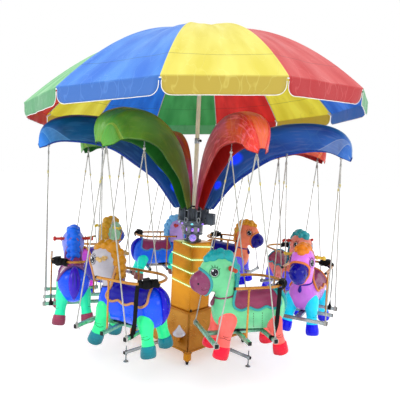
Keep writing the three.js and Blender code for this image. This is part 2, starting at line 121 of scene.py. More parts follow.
# %% Shapes from operators
def turned(profile, steps=32, axis="Z", angle=2 * pi):
    """Spins a profile of (radius, height) round Z, then turns it to another axis if asked."""
    bm = bmesh.new()
    verts = [bm.verts.new((r, 0, z)) for r, z in profile]
    edges = [bm.edges.new(pair) for pair in zip(verts, verts[1:])]
    bmesh.ops.spin(bm, geom=verts + edges, cent=(0, 0, 0), axis=(0, 0, 1), dvec=(0, 0, 0), angle=angle,
                   steps=steps, use_merge=abs(angle - 2 * pi) < 1e-6)
    bmesh.ops.remove_doubles(bm, verts=bm.verts, dist=1e-6)
    bmesh.ops.recalc_face_normals(bm, faces=bm.faces)
    if axis == "X":
        bmesh.ops.transform(bm, matrix=Matrix.Rotation(pi / 2, 4, "Y"), verts=bm.verts)
    if axis == "Y":
        bmesh.ops.transform(bm, matrix=Matrix.Rotation(-pi / 2, 4, "X"), verts=bm.verts)
    return bm


def block(size, at=(0, 0, 0), bevel=0.002, segments=2):
    """A box with rounded edges."""
    bm = bmesh.new()
    bmesh.ops.create_cube(bm, size=1.0)
    bmesh.ops.scale(bm, vec=size, verts=bm.verts)
    if bevel:
        bmesh.ops.bevel(bm, geom=bm.edges[:] + bm.verts[:], offset=bevel, segments=segments, profile=0.5,
                        affect="EDGES", material=-1)
    bmesh.ops.translate(bm, vec=at, verts=bm.verts)
    return bm


def disc_rod(radius, low, high, at=(0, 0), steps=20, bevel=0.0015):
    """A short upright bar with rounded rims."""
    b = min(bevel, radius / 2, (high - low) / 2.5)
    bm = turned([(0, low), (radius - b, low), (radius, low + b), (radius, high - b), (radius - b, high), (0, high)],
                steps)
    bmesh.ops.translate(bm, vec=(*at, 0), verts=bm.verts)
    return bm


def lump(centre, radii, pitch=0.0, detail=3):
    """An egg: a round ball that is stretched, pitched about Y and put in its place."""
    bm = bmesh.new()
    bmesh.ops.create_icosphere(bm, subdivisions=detail, radius=1.0)
    bmesh.ops.scale(bm, vec=radii, verts=bm.verts)
    bmesh.ops.transform(bm, matrix=Matrix.Translation(centre) @ Matrix.Rotation(pitch, 4, "Y"), verts=bm.verts)
    return bm


def loft(sections, closed_ends=True):
    """Extrudes a circle from one outline to the next. UVs run round the outline and along the length, in metres."""
    bm = bmesh.new()
    sides = len(sections[0])
    ring = bmesh.ops.create_circle(bm, cap_ends=False, segments=sides, radius=1.0)["verts"]
    edges = bm.edges[:]
    for vert, point in zip(ring, sections[0]):
        vert.co = point
    rows, lengths = [ring], [0.0]
    for before, section in zip(sections, sections[1:]):
        bmesh.ops.extrude_edge_only(bm, edges=edges)
        bm.verts.ensure_lookup_table()
        old = {tuple(v.co): k for k, v in enumerate(rows[-1])}
        fresh = [None] * sides
        for vert in bm.verts[-sides:]:
            fresh[old[tuple(vert.co)]] = vert
        for vert, point in zip(fresh, section):
            vert.co = point
        edges = [bm.edges.get((fresh[k], fresh[(k + 1) % sides])) for k in range(sides)]
        rows.append(fresh)
        lengths.append(lengths[-1] + (sum((Vector(p) for p in section), Vector()) / sides
                                      - sum((Vector(p) for p in before), Vector()) / sides).length)
    place = {vert: (k, lengths[i]) for i, row in enumerate(rows) for k, vert in enumerate(row)}
    uv = bm.loops.layers.uv.new("UVMap")
    girth = sum((Vector(a) - Vector(b)).length for a,
                b in zip(sections[len(sections) // 2], sections[len(sections) // 2][1:]
                         + sections[len(sections) // 2][:1]))
    for face in bm.faces:
        ks = [place[loop.vert][0] for loop in face.loops]
        for loop, k in zip(face.loops, ks):
            k = sides if k == 0 and max(ks) == sides - 1 else k
            loop[uv].uv = (k / sides * girth, place[loop.vert][1])
    if closed_ends:
        for row in (rows[0], rows[-1]):
            if row[0].is_valid:
                bmesh.ops.contextual_create(bm, geom=row)
    bmesh.ops.recalc_face_normals(bm, faces=bm.faces)
    return bm


def sweep(points, radius, sides=8, wide=None, up=(0, 0, 1)):
    """A bar along a line of points. The radius may change from point to point, and wide makes the section an oval."""
    points = [Vector(p) for p in points]
    radii = radius if hasattr(radius, "__len__") else [radius] * len(points)
    wides = wide if hasattr(wide, "__len__") else [wide or 1.0] * len(points)
    sections = []
    across = None
    for k, point in enumerate(points):
        along = (points[min(k + 1, len(points) - 1)] - points[max(k - 1, 0)]).normalized()
        if across is None:
            across = along.cross(Vector(up))
            if across.length < 0.05:
                across = along.cross(Vector((1, 0, 0)))
        across = (across - along * across.dot(along)).normalized()
        over = across.cross(along)
        sections.append([point + (across * cos(2 * pi * j / sides) * wides[k] + over * sin(2 * pi * j / sides))
                         * radii[k] for j in range(sides)])
    return loft(sections)


def smooth_line(points, steps=6):
    """A line that passes through all the points without a kink."""
    points = [Vector(p) for p in points]
    line = []
    for k in range(len(points) - 1):
        a, b, c, d = (points[max(k - 1, 0)], points[k], points[k + 1], points[min(k + 2, len(points) - 1)])
        for s in range(steps):
            t = s / steps
            line.append(0.5 * (2 * b + (c - a) * t + (2 * a - 5 * b + 4 * c - d) * t ** 2
                               + (3 * b - a - 3 * c + d) * t ** 3))
    return line + [points[-1]]


print("Tools: turned, block, disc_rod, lump, loft, sweep, smooth_line")

# %% [markdown]
# Parts of one object are gathered in a kit. Each part is put in with its place and its material, so a piece such as a
# seat frame is one mesh with a few materials. Gathering small meshes is also much faster than running operators on
# one that keeps growing. Edges that are sharper than a set angle stay sharp, and all others are shaded smooth.


def as_mesh(name, bm):
    mesh = bpy.data.meshes.new(name)
    bm.to_mesh(mesh)
    bm.free()
    return mesh


def as_object(name, mesh):
    obj = bpy.data.objects.new(name, mesh)
    scene.collection.objects.link(obj)
    return obj


def join(bm, mesh):
    """Puts a mesh into a bmesh and throws the mesh away."""
    bm.from_mesh(mesh)
    bpy.data.meshes.remove(mesh)


def creased(bm, angle):
    """Marks the edges where the surface turns by more than the angle as sharp."""
    for edge in bm.edges:
        if len(edge.link_faces) == 2 and edge.calc_face_angle(0) > radians(angle):
            edge.smooth = False


class Kit:
    def __init__(self, *materials):
        self.bm = bmesh.new()
        self.uv = self.bm.loops.layers.uv.new("UVMap")
        self.materials = list(materials)

    def add(self, part, material=None, place=None, mirror=None):
        index = self.materials.index(material) if material else 0
        for face in part.faces:
            face.material_index = index
            face.smooth = True
        mesh = as_mesh("part", part)
        if mirror:
            self.bm.from_mesh(mesh)
            twin = mesh.copy()
            twin.transform(Matrix.Scale(-1, 4, (1, 0, 0) if mirror == "X" else (0, 1, 0)))
            twin.flip_normals()
            if place:
                twin.transform(place)
            join(self.bm, twin)
        elif place is None:
            self.bm.from_mesh(mesh)
        if place:
            mesh.transform(place)
            self.bm.from_mesh(mesh)
        bpy.data.meshes.remove(mesh)

    def piece(self, name, sharp=32):
        """Makes the object, with sharp edges where the surface turns by more than the angle."""
        creased(self.bm, sharp)
        mesh = as_mesh(name, self.bm)
        for material in self.materials:
            mesh.materials.append(material)
        return as_object(name, mesh)


def copy_at(master, name, place, materials=None):
    """A copy of a finished piece with its place written into the mesh, so that the object stays at the origin."""
    mesh = master.data.copy()
    mesh.name = name
    mesh.transform(place)
    for k, material in enumerate(materials or []):
        mesh.materials[k] = material
    return as_object(name, mesh)


def thickened(obj, thickness, inner, rim):
    """Gives cloth a wall. inner and rim say how many slots on their finishes lie from that of the outer face."""
    wall = obj.modifiers.new("thickness", "SOLIDIFY")
    wall.thickness = thickness
    wall.offset = -1
    wall.material_offset = inner
    wall.material_offset_rim = rim


def put_on(piece, body, slot, *nodes):
    """Lets a piece move with a body and hides the solids that it stands for. slot is not used."""
    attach(piece, body)
    if nodes:
        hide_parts(*nodes)
    triangles = sum(len(polygon.vertices) - 2 for polygon in piece.data.polygons)
    print(f"{piece.name}: {triangles} triangles on {body}")


def applied(obj):
    """Works out the modifiers of an object and returns the result as a bmesh."""
    graph = bpy.context.evaluated_depsgraph_get()
    bm = bmesh.new()
    bm.from_object(obj, graph)
    bpy.data.objects.remove(obj, do_unlink=True)
    return bm


FIRST_ARM = -72.53                     # degrees, the arm whose pony stands left of the front corner
ARMS = range(1, 9)


def arm_place(i):
    """Local X points outwards along arm i."""
    return Matrix.Rotation(radians(FIRST_ARM + 45 * (i - 1)), 4, "Z")


def seat_place(i):
    """Local X is where seat i faces, and local Y points outwards."""
    return Matrix.Rotation(radians(FIRST_ARM + 45 * (i - 1) - 90), 4, "Z")


print("Arms every 45 degrees from", FIRST_ARM)

# %% [markdown]
# ## Finishes
# A finish is a small network of nodes that feeds one Principled shader. The real surfaces are never one even colour:
# lacquer runs a little darker where it is thick, metal has clouds of grease, and cloth fades. So most finishes mix
# two tones by a noise, let the roughness wander a little, and bump the surface at the scale of its grain. The
# patterns read Object coordinates, which are metres on the piece itself, or the piece's own UVs where they have to
# follow a rope or a seam. The helpers below all work on the finish that was made last, so no call has to name it.


# %% Node helpers
def constant(**values):
    """Sets values on the shader itself, under the socket's name."""
    for socket, value in values.items():
        finish.node_tree.nodes["Principled BSDF"].inputs[socket.replace("_", " ")].default_value = value


def new_finish(name, roughness, metallic=0.0, coat=0.0, sheen=0.0, gloss=0.5):
    """A material with its constant values set on the shader. The other helpers all work on the newest finish."""
    global finish
    finish = bpy.data.materials.new(name)
    finish.use_nodes = True
    constant(Roughness=roughness, Metallic=metallic, Coat_Weight=coat, Coat_Roughness=0.08, Sheen_Weight=sheen,
             Specular_IOR_Level=gloss)
    return finish


def node(kind, settings=None, **sockets):
    """Adds a node. A socket, named or numbered as in i0, is given a value, or another node's output to link."""
    new = finish.node_tree.nodes.new("ShaderNode" + kind)
    for key, value in (settings or {}).items():
        setattr(new, key, value)
    for key, value in sockets.items():
        numbered = key[0] == "i" and key[1:].isdigit()
        socket = new.inputs[int(key[1:]) if numbered else key.replace("_", " ")]
        if isinstance(value, bpy.types.NodeSocket):
            finish.node_tree.links.new(value, socket)
        else:
            socket.default_value = value
    return new


def feed(socket, value):
    shader = finish.node_tree.nodes["Principled BSDF"]
    finish.node_tree.links.new(value, shader.inputs[socket])


def coordinates(kind="Object"):
    """Object coordinates, or one of the piece's own UV maps."""
    if kind == "Object":
        return node("TexCoord").outputs["Object"]
    return node("UVMap", {"uv_map": kind}).outputs["UV"]


def cloud(where, scale, detail=3.0, rough=0.55):
    return node("TexNoise", Vector=where, Scale=scale, Detail=detail, Roughness=rough).outputs["Fac"]


def remap(value, low, high, to_low=0.0, to_high=1.0):
    return node("MapRange", {"clamp": True}, Value=value, From_Min=low, From_Max=high, To_Min=to_low,
                To_Max=to_high).outputs["Result"]


def calc(operation, a, b=0.0):
    return node("Math", {"operation": operation}, i0=a, i1=b).outputs[0]


def times(a, b):
    return calc("MULTIPLY", a, b)


def plus(a, b):
    return calc("ADD", a, b)


def minus(a, b):
    return calc("SUBTRACT", a, b)


def mix(amount, a, b, way="MIX"):
    return node("Mix", {"data_type": "RGBA", "blend_type": way}, i0=amount, i6=a, i7=b).outputs[2]


def rgb(r, g, b):
    """A colour that is picked from a screen, 0 to 255, as the linear value that a shader needs."""
    return tuple((c / 255) ** 2.2 for c in (r, g, b)) + (1.0,)


def bump(height, strength, distance):
    relief = node("Bump", Height=height, Strength=strength, Distance=distance)
    feed("Normal", relief.outputs["Normal"])


def worn(name, colour, shade, roughness, spread=0.12, metallic=0.0, coat=0.0, cloud_scale=7.0, grain=240.0,
         depth=0.0002, strength=0.25, gloss=0.3):
    """Two tones, a wandering roughness and a fine grain: the start of every hard finish."""
    material = new_finish(name, roughness, metallic, coat, gloss=gloss)
    where = coordinates()
    patches = cloud(where, cloud_scale, 5.0)
    feed("Base Color", mix(remap(patches, 0.35, 0.68), colour, shade))
    smudges = cloud(where, cloud_scale * 3.1, 4.0)
    feed("Roughness", remap(smudges, 0.3, 0.7, max(0.03, roughness - spread), roughness + spread))
    bump(cloud(where, grain, 2.0), strength, depth)
    return material


print("Helpers for finishes are ready")

# %% [markdown]
# The cabinet is sheet steel under glossy gold paint with a thin coat, and slow waves where the sheet isn't quite
# flat. The frames are galvanised or chromed tube, the hub has grey hammer paint, and the castors are black rubber.

# %% Hard finishes
gold_paint = new_finish("gold_paint", 0.16, metallic=0.6, coat=0.08, gloss=0.3)
where = coordinates()
blush = mix(remap(cloud(where, 2.4), 0.35, 0.65), rgb(216, 144, 16), rgb(168, 102, 6))
flecks = remap(cloud(where, 420.0, 2.0), 0.62, 0.75)
feed("Base Color", mix(flecks, blush, rgb(232, 176, 60)))
feed("Roughness", remap(cloud(where, 9.0, 4.0), 0.3, 0.7, 0.1, 0.26))
bump(cloud(where, 5.0, 1.0), 0.18, 0.006)
# Painted light: the green glow that the light strip throws on the gold is painted into the paint as emission.
# The light strip winds round the tower, so how near a point is to it follows from the point's height and angle.
STRIP_TOP, STRIP_PITCH, STRIP_QUARTERS = 0.944, 0.124, 13
x, y, z = node("SeparateXYZ", Vector=where).outputs
turn = calc("DIVIDE", calc("ARCTAN2", x, times(y, -1.0)), 2 * pi)
winds = plus(calc("DIVIDE", minus(z, STRIP_TOP + STRIP_PITCH / 8), STRIP_PITCH), turn)
away = calc("ABSOLUTE", minus(calc("FRACT", plus(winds, 0.5)), 0.5))
lit = times(remap(away, 0.22, 0.02), remap(winds, -3.6, -3.3))
feed("Emission Strength", times(times(lit, lit), 0.28))
constant(Emission_Color=rgb(120, 255, 120))

gold_skirt = new_finish("gold_skirt", 0.2, metallic=0.5, coat=0.08, gloss=0.3)
where = coordinates()
blush = mix(remap(cloud(where, 3.1), 0.35, 0.65), rgb(212, 150, 58), rgb(176, 108, 18))
scuffs = node("Mapping", Vector=where, Scale=(14.0, 14.0, 160.0)).outputs["Vector"]
scuffs = remap(cloud(scuffs, 2.0, 4.0), 0.66, 0.74)
feed("Base Color", mix(scuffs, blush, rgb(224, 186, 130)))
feed("Roughness", remap(cloud(where, 11.0, 4.0), 0.3, 0.7, 0.12, 0.32))
bump(cloud(where, 4.0, 1.0), 0.2, 0.006)

steel = worn("bright_steel", rgb(176, 182, 186), rgb(128, 134, 140), 0.3, 0.1, metallic=0.85, cloud_scale=12.0,
             grain=500.0)
dark_steel = worn("dark_steel", rgb(92, 96, 100), rgb(60, 63, 68), 0.36, 0.12, metallic=0.75, cloud_scale=14.0)
hub_paint = worn("hub_paint", rgb(104, 112, 122), rgb(72, 80, 92), 0.4, 0.12, metallic=0.35, coat=0.2,
                 cloud_scale=16.0, grain=160.0, depth=0.0006, strength=0.4)
hub_block_paint = worn("hub_block_paint", rgb(146, 150, 154), rgb(108, 112, 118), 0.45, 0.1, metallic=0.2,
                       cloud_scale=24.0)
slate_paint = worn("slate_paint", rgb(74, 84, 94), rgb(52, 60, 70), 0.45, 0.1, cloud_scale=18.0, gloss=0.3)
pole_cream = worn("pole_cream", rgb(238, 232, 204), rgb(220, 212, 180), 0.32, 0.08, coat=0.3, cloud_scale=5.0)
umbrella_white = worn("umbrella_white", rgb(206, 208, 206), rgb(172, 174, 174), 0.36, 0.1, metallic=0.3)
black_rubber = worn("black_rubber", rgb(30, 28, 28), rgb(16, 15, 16), 0.6, 0.12, cloud_scale=22.0, grain=320.0,
                    gloss=0.2)
black_plastic = worn("black_plastic", rgb(22, 22, 24), rgb(12, 12, 14), 0.45, 0.1, cloud_scale=30.0, grain=600.0,
                     gloss=0.3)
white_knob = worn("white_knob", rgb(214, 212, 204), rgb(180, 178, 172), 0.45, 0.1, cloud_scale=30.0)

# Bars of the seats: chromed tube. Beside the ponies with green legs, their reflection is painted in as a green tint
seat_chrome = worn("seat_chrome", rgb(168, 176, 178), rgb(124, 132, 136), 0.26, 0.08, metallic=0.6, cloud_scale=9.0)
chrome_painted_green_reflection = worn("chrome_painted_green_reflection", rgb(136, 200, 172), rgb(98, 150, 130), 0.26, 0.08, metallic=0.5, cloud_scale=9.0)
rail_gold = worn("rail_gold", rgb(206, 146, 62), rgb(170, 108, 34), 0.26, 0.08, metallic=0.35, coat=0.3,
                 cloud_scale=10.0)
print("Hard finishes:", sorted(m.name for m in bpy.data.materials))

# %% [markdown]
# The light strip is a pale silicone tube over a row of LEDs, so it glows, with brighter beads along it. The ball
# lamp's shell is clear and the bell lamp's is milky. Both need a shader that lets light through: transmission and a
# low roughness, and for the clear one a lower index than plastic has, so that what lies behind it isn't bent much.

# %% Light and glass
strip_light = new_finish("strip_light", 0.35)
where = coordinates("UVMap")
beads = node("TexWave", {"bands_direction": "Y"}, Vector=where, Scale=16.0,
             Distortion=0.0).outputs["Fac"]
feed("Base Color", mix(beads, rgb(150, 220, 140), rgb(226, 255, 214)))
feed("Emission Color", mix(beads, rgb(176, 255, 160), rgb(236, 255, 220)))
feed("Emission Strength", remap(beads, 0.0, 1.0, 0.5, 0.95))

clear_shell = new_finish("clear_shell", 0.08)
where = coordinates()
constant(Transmission_Weight=0.85)
constant(IOR=1.3)
feed("Base Color", mix(cloud(where, 30.0), rgb(236, 240, 250), rgb(206, 214, 236)))
feed("Roughness", remap(cloud(where, 60.0), 0.3, 0.7, 0.04, 0.16))

milky_shell = new_finish("milky_shell", 0.12)
where = coordinates()
# Painted light: a faint white emission stands for the light that comes through the milky shell.
constant(Emission_Color=rgb(236, 240, 255))
constant(Emission_Strength=0.06)
constant(Transmission_Weight=0.55)
feed("Base Color", mix(cloud(where, 30.0), rgb(246, 248, 255), rgb(206, 210, 226)))
feed("Roughness", remap(cloud(where, 60.0), 0.3, 0.7, 0.05, 0.2))


def glowing(name, scale, surface, light, strongest):
    """A lens with a lit core: surface and light are pairs of tones that follow one pattern of spots."""
    material = new_finish(name, 0.3)
    cells = remap(cloud(coordinates(), scale, 2.0), 0.35, 0.65)
    feed("Base Color", mix(cells, *surface))
    feed("Emission Color", mix(cells, *light))
    feed("Emission Strength", remap(cells, 0.0, 1.0, 0.5, strongest))
    return material


violet_glow = glowing("violet_glow", 36.0, (rgb(120, 110, 235), rgb(214, 160, 240)),
                      (rgb(90, 80, 240), rgb(226, 150, 250)), 1.1)
cyan_glow = glowing("cyan_glow", 44.0, (rgb(60, 190, 220), rgb(180, 240, 240)),
                    (rgb(30, 190, 220), rgb(170, 250, 240)), 1.0)
print("Glowing and clear finishes done")

# %% [markdown]
# ## Cabinet
# The cabinet is a square skirt that narrows upwards like a cut-off pyramid, on a rim, with four posts and castors
# under it. A cone with only four sides is such a skirt, so one operator makes it, and a bevel rounds its folded
# edges. Each face gets an inset panel, because folded sheet is never one bare plane.


# %% Cabinet skirt
def skirt(low_side, high_side, low, high, bevel):
    bm = bmesh.new()
    bmesh.ops.create_cone(bm, cap_ends=True, segments=4, radius1=low_side / sqrt(2), radius2=high_side / sqrt(2),
                          depth=high - low)
    bmesh.ops.rotate(bm, cent=(0, 0, 0), matrix=Matrix.Rotation(pi / 4, 3, "Z"), verts=bm.verts)
    sides = [face for face in bm.faces if abs(face.normal.z) < 0.99]
    bmesh.ops.inset_individual(bm, faces=sides, thickness=0.014, depth=0.0)
    bmesh.ops.inset_individual(bm, faces=sides, thickness=0.003, depth=-0.0015)
    hips = [edge for edge in bm.edges if len(edge.link_faces) == 2 and edge.calc_face_angle(0) > 0.5]
    bmesh.ops.bevel(bm, geom=hips, offset=bevel, segments=3, profile=0.5, affect="EDGES", material=-1)
    bmesh.ops.translate(bm, vec=(0, 0, (low + high) / 2), verts=bm.verts)
    return bm


cabinet = Kit(gold_skirt, gold_paint, dark_steel, black_rubber, black_plastic)
cabinet.add(skirt(0.798, 0.290, 0.119, 0.325, 0.004), gold_skirt)
cabinet.add(block((0.800, 0.800, 0.0145), (0, 0, 0.11225), 0.004, 3), gold_skirt)
cabinet.add(block((0.304, 0.304, 0.008), (0, 0, 0.329), 0.003), gold_skirt)
CORNERS = [(1, 1), (1, -1), (-1, 1), (-1, -1)]
LEG_AT = 0.372
for sx, sy in CORNERS:
    x, y = sx * LEG_AT, sy * LEG_AT
    cabinet.add(block((0.050, 0.050, 0.070), (x, y, 0.071), 0.005, 3), gold_paint)
    cabinet.add(block((0.058, 0.058, 0.006), (x, y, 0.1015), 0.002), gold_paint)
    around = Matrix.Translation((x, y, 0)) @ Matrix.Rotation(pi / 4, 4, "Z")
    cabinet.add(disc_rod(0.016, 0.030, 0.042), dark_steel, around)
    cabinet.add(turned([(0.006, -0.012), (0.020, -0.012), (0.0255, -0.009), (0.028, -0.004), (0.028, 0.004),
                        (0.0255, 0.009), (0.020, 0.012), (0.006, 0.012), (0.006, -0.012)], 28, "X"), black_rubber,
                Matrix.Translation((x, y, 0.028)) @ Matrix.Rotation(pi / 4, 4, "Z"))
    cabinet.add(turned([(0, -0.0145), (0.007, -0.0145), (0.007, 0.0145), (0, 0.0145)], 14, "X"), dark_steel,
                Matrix.Translation((x, y, 0.028)) @ Matrix.Rotation(pi / 4, 4, "Z"))
    for side in (-1, 1):
        cabinet.add(block((0.0022, 0.020, 0.030), (side * 0.0155, 0, 0.030), 0.0008), dark_steel, around)
for k in range(4):
    quarter = Matrix.Rotation(k * pi / 2, 4, "Z")
    for t in (-0.36, -0.12, 0.12, 0.36):
        cabinet.add(turned([(0, 0.0012), (0.004, 0.0009), (0.005, 0)], 10, "X"), dark_steel,
                    quarter @ Matrix.Translation((0.400, t, 0.112)))
skirt_piece = cabinet.piece("cabinet_skirt")
put_on(skirt_piece, "base", "gold_cabinet", "cabinet_box")

# %% [markdown]
# ## Tower
# The tower is a plain square column of sheet in a stronger gold, with the light strip's green glow beside its turns.
# Its corners are folded with a small radius. A door plate with two hinges and a knob lies on the back, and rivets
# hold the top and the foot. A small black key switch sits low on one face, beside the front edge.

# %% Tower
tower = Kit(gold_paint, dark_steel, black_plastic)
column = block((0.260, 0.260, 0.6325), (0, 0, 0.64955), 0.006, 3)
faces = [face for face in column.faces if abs(face.normal.z) < 0.1 and face.calc_area() > 0.1]
bmesh.ops.inset_individual(column, faces=faces, thickness=0.010, depth=0.0)
bmesh.ops.inset_individual(column, faces=faces, thickness=0.0025, depth=-0.0012)
tower.add(column, gold_paint)
for k in range(4):
    quarter = Matrix.Rotation(k * pi / 2, 4, "Z")
    for y in (-0.112, 0.112):
        for z in (0.352, 0.946):
            tower.add(turned([(0, 0.0018), (0.0032, 0.0012), (0.0045, 0)], 10, "X"), dark_steel,
                      quarter @ Matrix.Translation((0.130, y, z)))
door = block((0.004, 0.180, 0.300), (-0.131, 0, 0.520), 0.0015)
tower.add(door, gold_paint)
for z in (0.410, 0.630):
    tower.add(disc_rod(0.005, z - 0.02, z + 0.02, (-0.134, 0.094), 12), dark_steel)
tower.add(turned([(0, 0.007), (0.007, 0.006), (0.009, 0.002), (0.011, 0)], 16, "X"), dark_steel,
          Matrix.Translation((-0.133, -0.070, 0.520)) @ Matrix.Rotation(pi, 4, "Z"))
tower.add(turned([(0, 0.012), (0.007, 0.011), (0.009, 0.008), (0.009, 0.003), (0.012, 0.002), (0.013, 0)], 18, "X"),
          black_plastic, Matrix.Translation((0.130, -0.112, 0.345)))
put_on(tower.piece("cabinet_tower_shell"), "base", "gold_cabinet", "cabinet_tower")

# %% [markdown]
# ## Light strip, lamps, outriggers
# The strip starts in the middle of one face and runs down round the tower in one long spiral. A sweep along the
# corner points makes it. Three points at each corner keep the bend tight and the tube nearly as thick as on the
# flats.

# %% Light strip
strip_points = []
reach = 0.130 + 0.0003 + 0.005
corner_signs = [(1, -1), (1, 1), (-1, 1), (-1, -1)]
strip_points.append(Vector((0, -reach, STRIP_TOP + STRIP_PITCH / 8)))
for k in range(STRIP_QUARTERS + 1):
    sx, sy = corner_signs[k % 4]
    z = STRIP_TOP - STRIP_PITCH * k / 4
    tx, ty = corner_signs[(k + 1) % 4]
    px, py = corner_signs[(k - 1) % 4]
    corner = Vector((sx * reach, sy * reach, z))
    before = Vector(((px - sx), (py - sy), 0)).normalized() * 0.007
    after = Vector(((tx - sx), (ty - sy), 0)).normalized() * 0.007
    strip_points.append(corner + before + Vector((0, 0, 0.0008)))
    strip_points.append(corner - (before + after) * -0.12)
    if k < STRIP_QUARTERS:
        strip_points.append(corner + after - Vector((0, 0, 0.0008)))
strip = Kit(strip_light, black_plastic)
strip.add(sweep(strip_points, 0.0046, 8), strip_light)
for place in (strip_points[0], strip_points[-1]):
    strip.add(block((0.012, 0.012, 0.010), place, 0.002), black_plastic)
put_on(strip.piece("light_strip_tube"), "base", "light_strip", "light_strip")

# %% [markdown]
# The ball lamp has a socket, a glowing core and a thin clear shell, and stands on the tower's top. The bell-shaped
# one is milky and sits on a gold stem on the slanted skirt, so the stem is cut off along the slope.

# %% Lamps
ball = Kit(clear_shell, violet_glow, dark_steel)
at = Matrix.Translation((0.148 / sqrt(2), -0.148 / sqrt(2), 0))
shell = [(0.0, 1.053)] + [(0.037 * sin(a), 1.016 + 0.037 * cos(a)) for a in (k * pi / 16 for k in range(1, 15))]
shell += [(0.014, 0.980), (0.013, 0.982), (0.020, 0.985)]
shell += [(0.035 * sin(a), 1.016 + 0.035 * cos(a)) for a in (k * pi / 16 for k in range(13, 0, -1))] + [(0.0, 1.051)]
ball.add(turned(shell, 32), clear_shell, at)
ball.add(lump((0, 0, 1.016), (0.031, 0.031, 0.031)), violet_glow, at)
ball.add(turned([(0, 0.9664), (0.018, 0.9664), (0.018, 0.972), (0.0155, 0.974), (0.0155, 0.979), (0.0135, 0.981),
                 (0.0, 0.996)], 24), dark_steel, at)
put_on(ball.piece("ball_lamp_glass"), "base", "crystal_lamp", "ball_lamp")

bell = Kit(milky_shell, gold_skirt)
BELL_AT = Vector((0.226, -0.340, 0.209))
at = Matrix.Translation(BELL_AT)
bell_profile = [(0.0, -0.002), (0.030, -0.012), (0.046, -0.010), (0.055, 0.000), (0.055, 0.010), (0.049, 0.019),
                (0.041, 0.028), (0.033, 0.038), (0.025, 0.048), (0.018, 0.058), (0.012, 0.068), (0.0095, 0.075),
                (0.006, 0.081), (0, 0.082)]
bell.add(turned(bell_profile, 32), milky_shell, at)
stem = turned([(0, -0.100), (0.0195, -0.100), (0.0195, -0.006), (0.024, -0.004), (0.024, -0.002), (0, -0.002)], 24)
slope = atan2(0.325 - 0.119, 0.255)
face_normal = Vector((0, -sin(slope), cos(slope)))
bmesh.ops.translate(stem, vec=BELL_AT, verts=stem.verts)
cut_at = Vector((0, -0.400, 0.119)) + face_normal * 0.0003
bmesh.ops.bisect_plane(stem, geom=stem.verts[:] + stem.edges[:] + stem.faces[:], plane_co=cut_at,
                       plane_no=face_normal, clear_inner=True)
bmesh.ops.holes_fill(stem, edges=[edge for edge in stem.edges if edge.is_boundary])
bell.add(stem, gold_skirt)
put_on(bell.piece("bell_lamp_glass"), "base", "crystal_lamp", "bell_lamp")

# %% [markdown]
# The outriggers keep the ride from tipping. They are two square tubes that cross under the cabinet. Each end has a
# black plug and a screw foot: a threaded rod with a nut on each side of the tube and a round foot that can be turned
# down.

# %% Outriggers
outriggers = Kit(steel, black_plastic, dark_steel)
outriggers.add(block((1.500, 0.024, 0.024), (0, 0, 0.080), 0.0025), steel)
outriggers.add(block((0.024, 1.500, 0.024), (0, 0, 0.080), 0.0025), steel)
for k in range(4):
    quarter = Matrix.Rotation(k * pi / 2, 4, "Z")
    end = quarter @ Matrix.Translation((0.729, 0, 0))
    outriggers.add(block((0.040, 0.040, 0.0247), (0.330, 0, 0.09235), 0.002), steel, quarter)
    outriggers.add(block((0.004, 0.0245, 0.0245), (0.7502, 0, 0.080), 0.0015), black_plastic, quarter)
    thread = [(0.0, 0.008)]
    for t in range(43):
        thread += [(0.0060, 0.010 + 0.003 * t), (0.0049, 0.0115 + 0.003 * t)]
    outriggers.add(turned(thread + [(0.0, 0.138)], 12), steel, end)
    for z in (0.0630, 0.0920):
        nut = turned([(0, z), (0.0095, z), (0.011, z + 0.0012), (0.011, z + 0.0038), (0.0095, z + 0.005),
                      (0, z + 0.005)], 6)
        outriggers.add(nut, dark_steel, end)
    outriggers.add(turned([(0, 0.0), (0.021, 0.0), (0.023, 0.0015), (0.023, 0.004), (0.0215, 0.0058), (0.013, 0.0105),
                           (0.009, 0.015), (0.0085, 0.020), (0, 0.021)], 28), steel, end)
put_on(outriggers.piece("outrigger_tubes"), "base", "outrigger_steel", "outrigger_frame")

# %% [markdown]
# ## Drive and hub
# A neck stands on the tower, and the hub turns on it. The hub is a ring of blocks under a flange, and eight steel
# brackets stand on the flange. Each bracket is two cheek plates with round corners and a back plate, with two bolts
# through them that hold the foot of an arm, and a shackle in front. A slate-grey control box sits in front of the
# third bracket. Turned shapes are spun from a profile, and plates are boxes with bevelled corners.

# %% Neck
neck = Kit(dark_steel, steel)
neck.add(turned([(0, 0.9663), (0.080, 0.9663), (0.082, 0.968), (0.082, 0.978), (0.080, 0.980), (0.066, 0.981),
                 (0.062, 0.985), (0.062, 0.996), (0.0595, 0.998), (0.0595, 1.004), (0.062, 1.006), (0.062, 1.028),
                 (0.060, 1.030), (0, 1.030)], 48), dark_steel)
for k in range(8):
    spot = Matrix.Rotation(k * pi / 4 + 0.2, 4, "Z") @ Matrix.Translation((0.072, 0, 0.980))
    neck.add(turned([(0, 0.0), (0.0055, 0.0), (0.0055, 0.0032), (0.0045, 0.004), (0, 0.004)], 6), steel, spot)
put_on(neck.piece("drive_neck_turned"), "base", "hub_steel", "drive_neck")

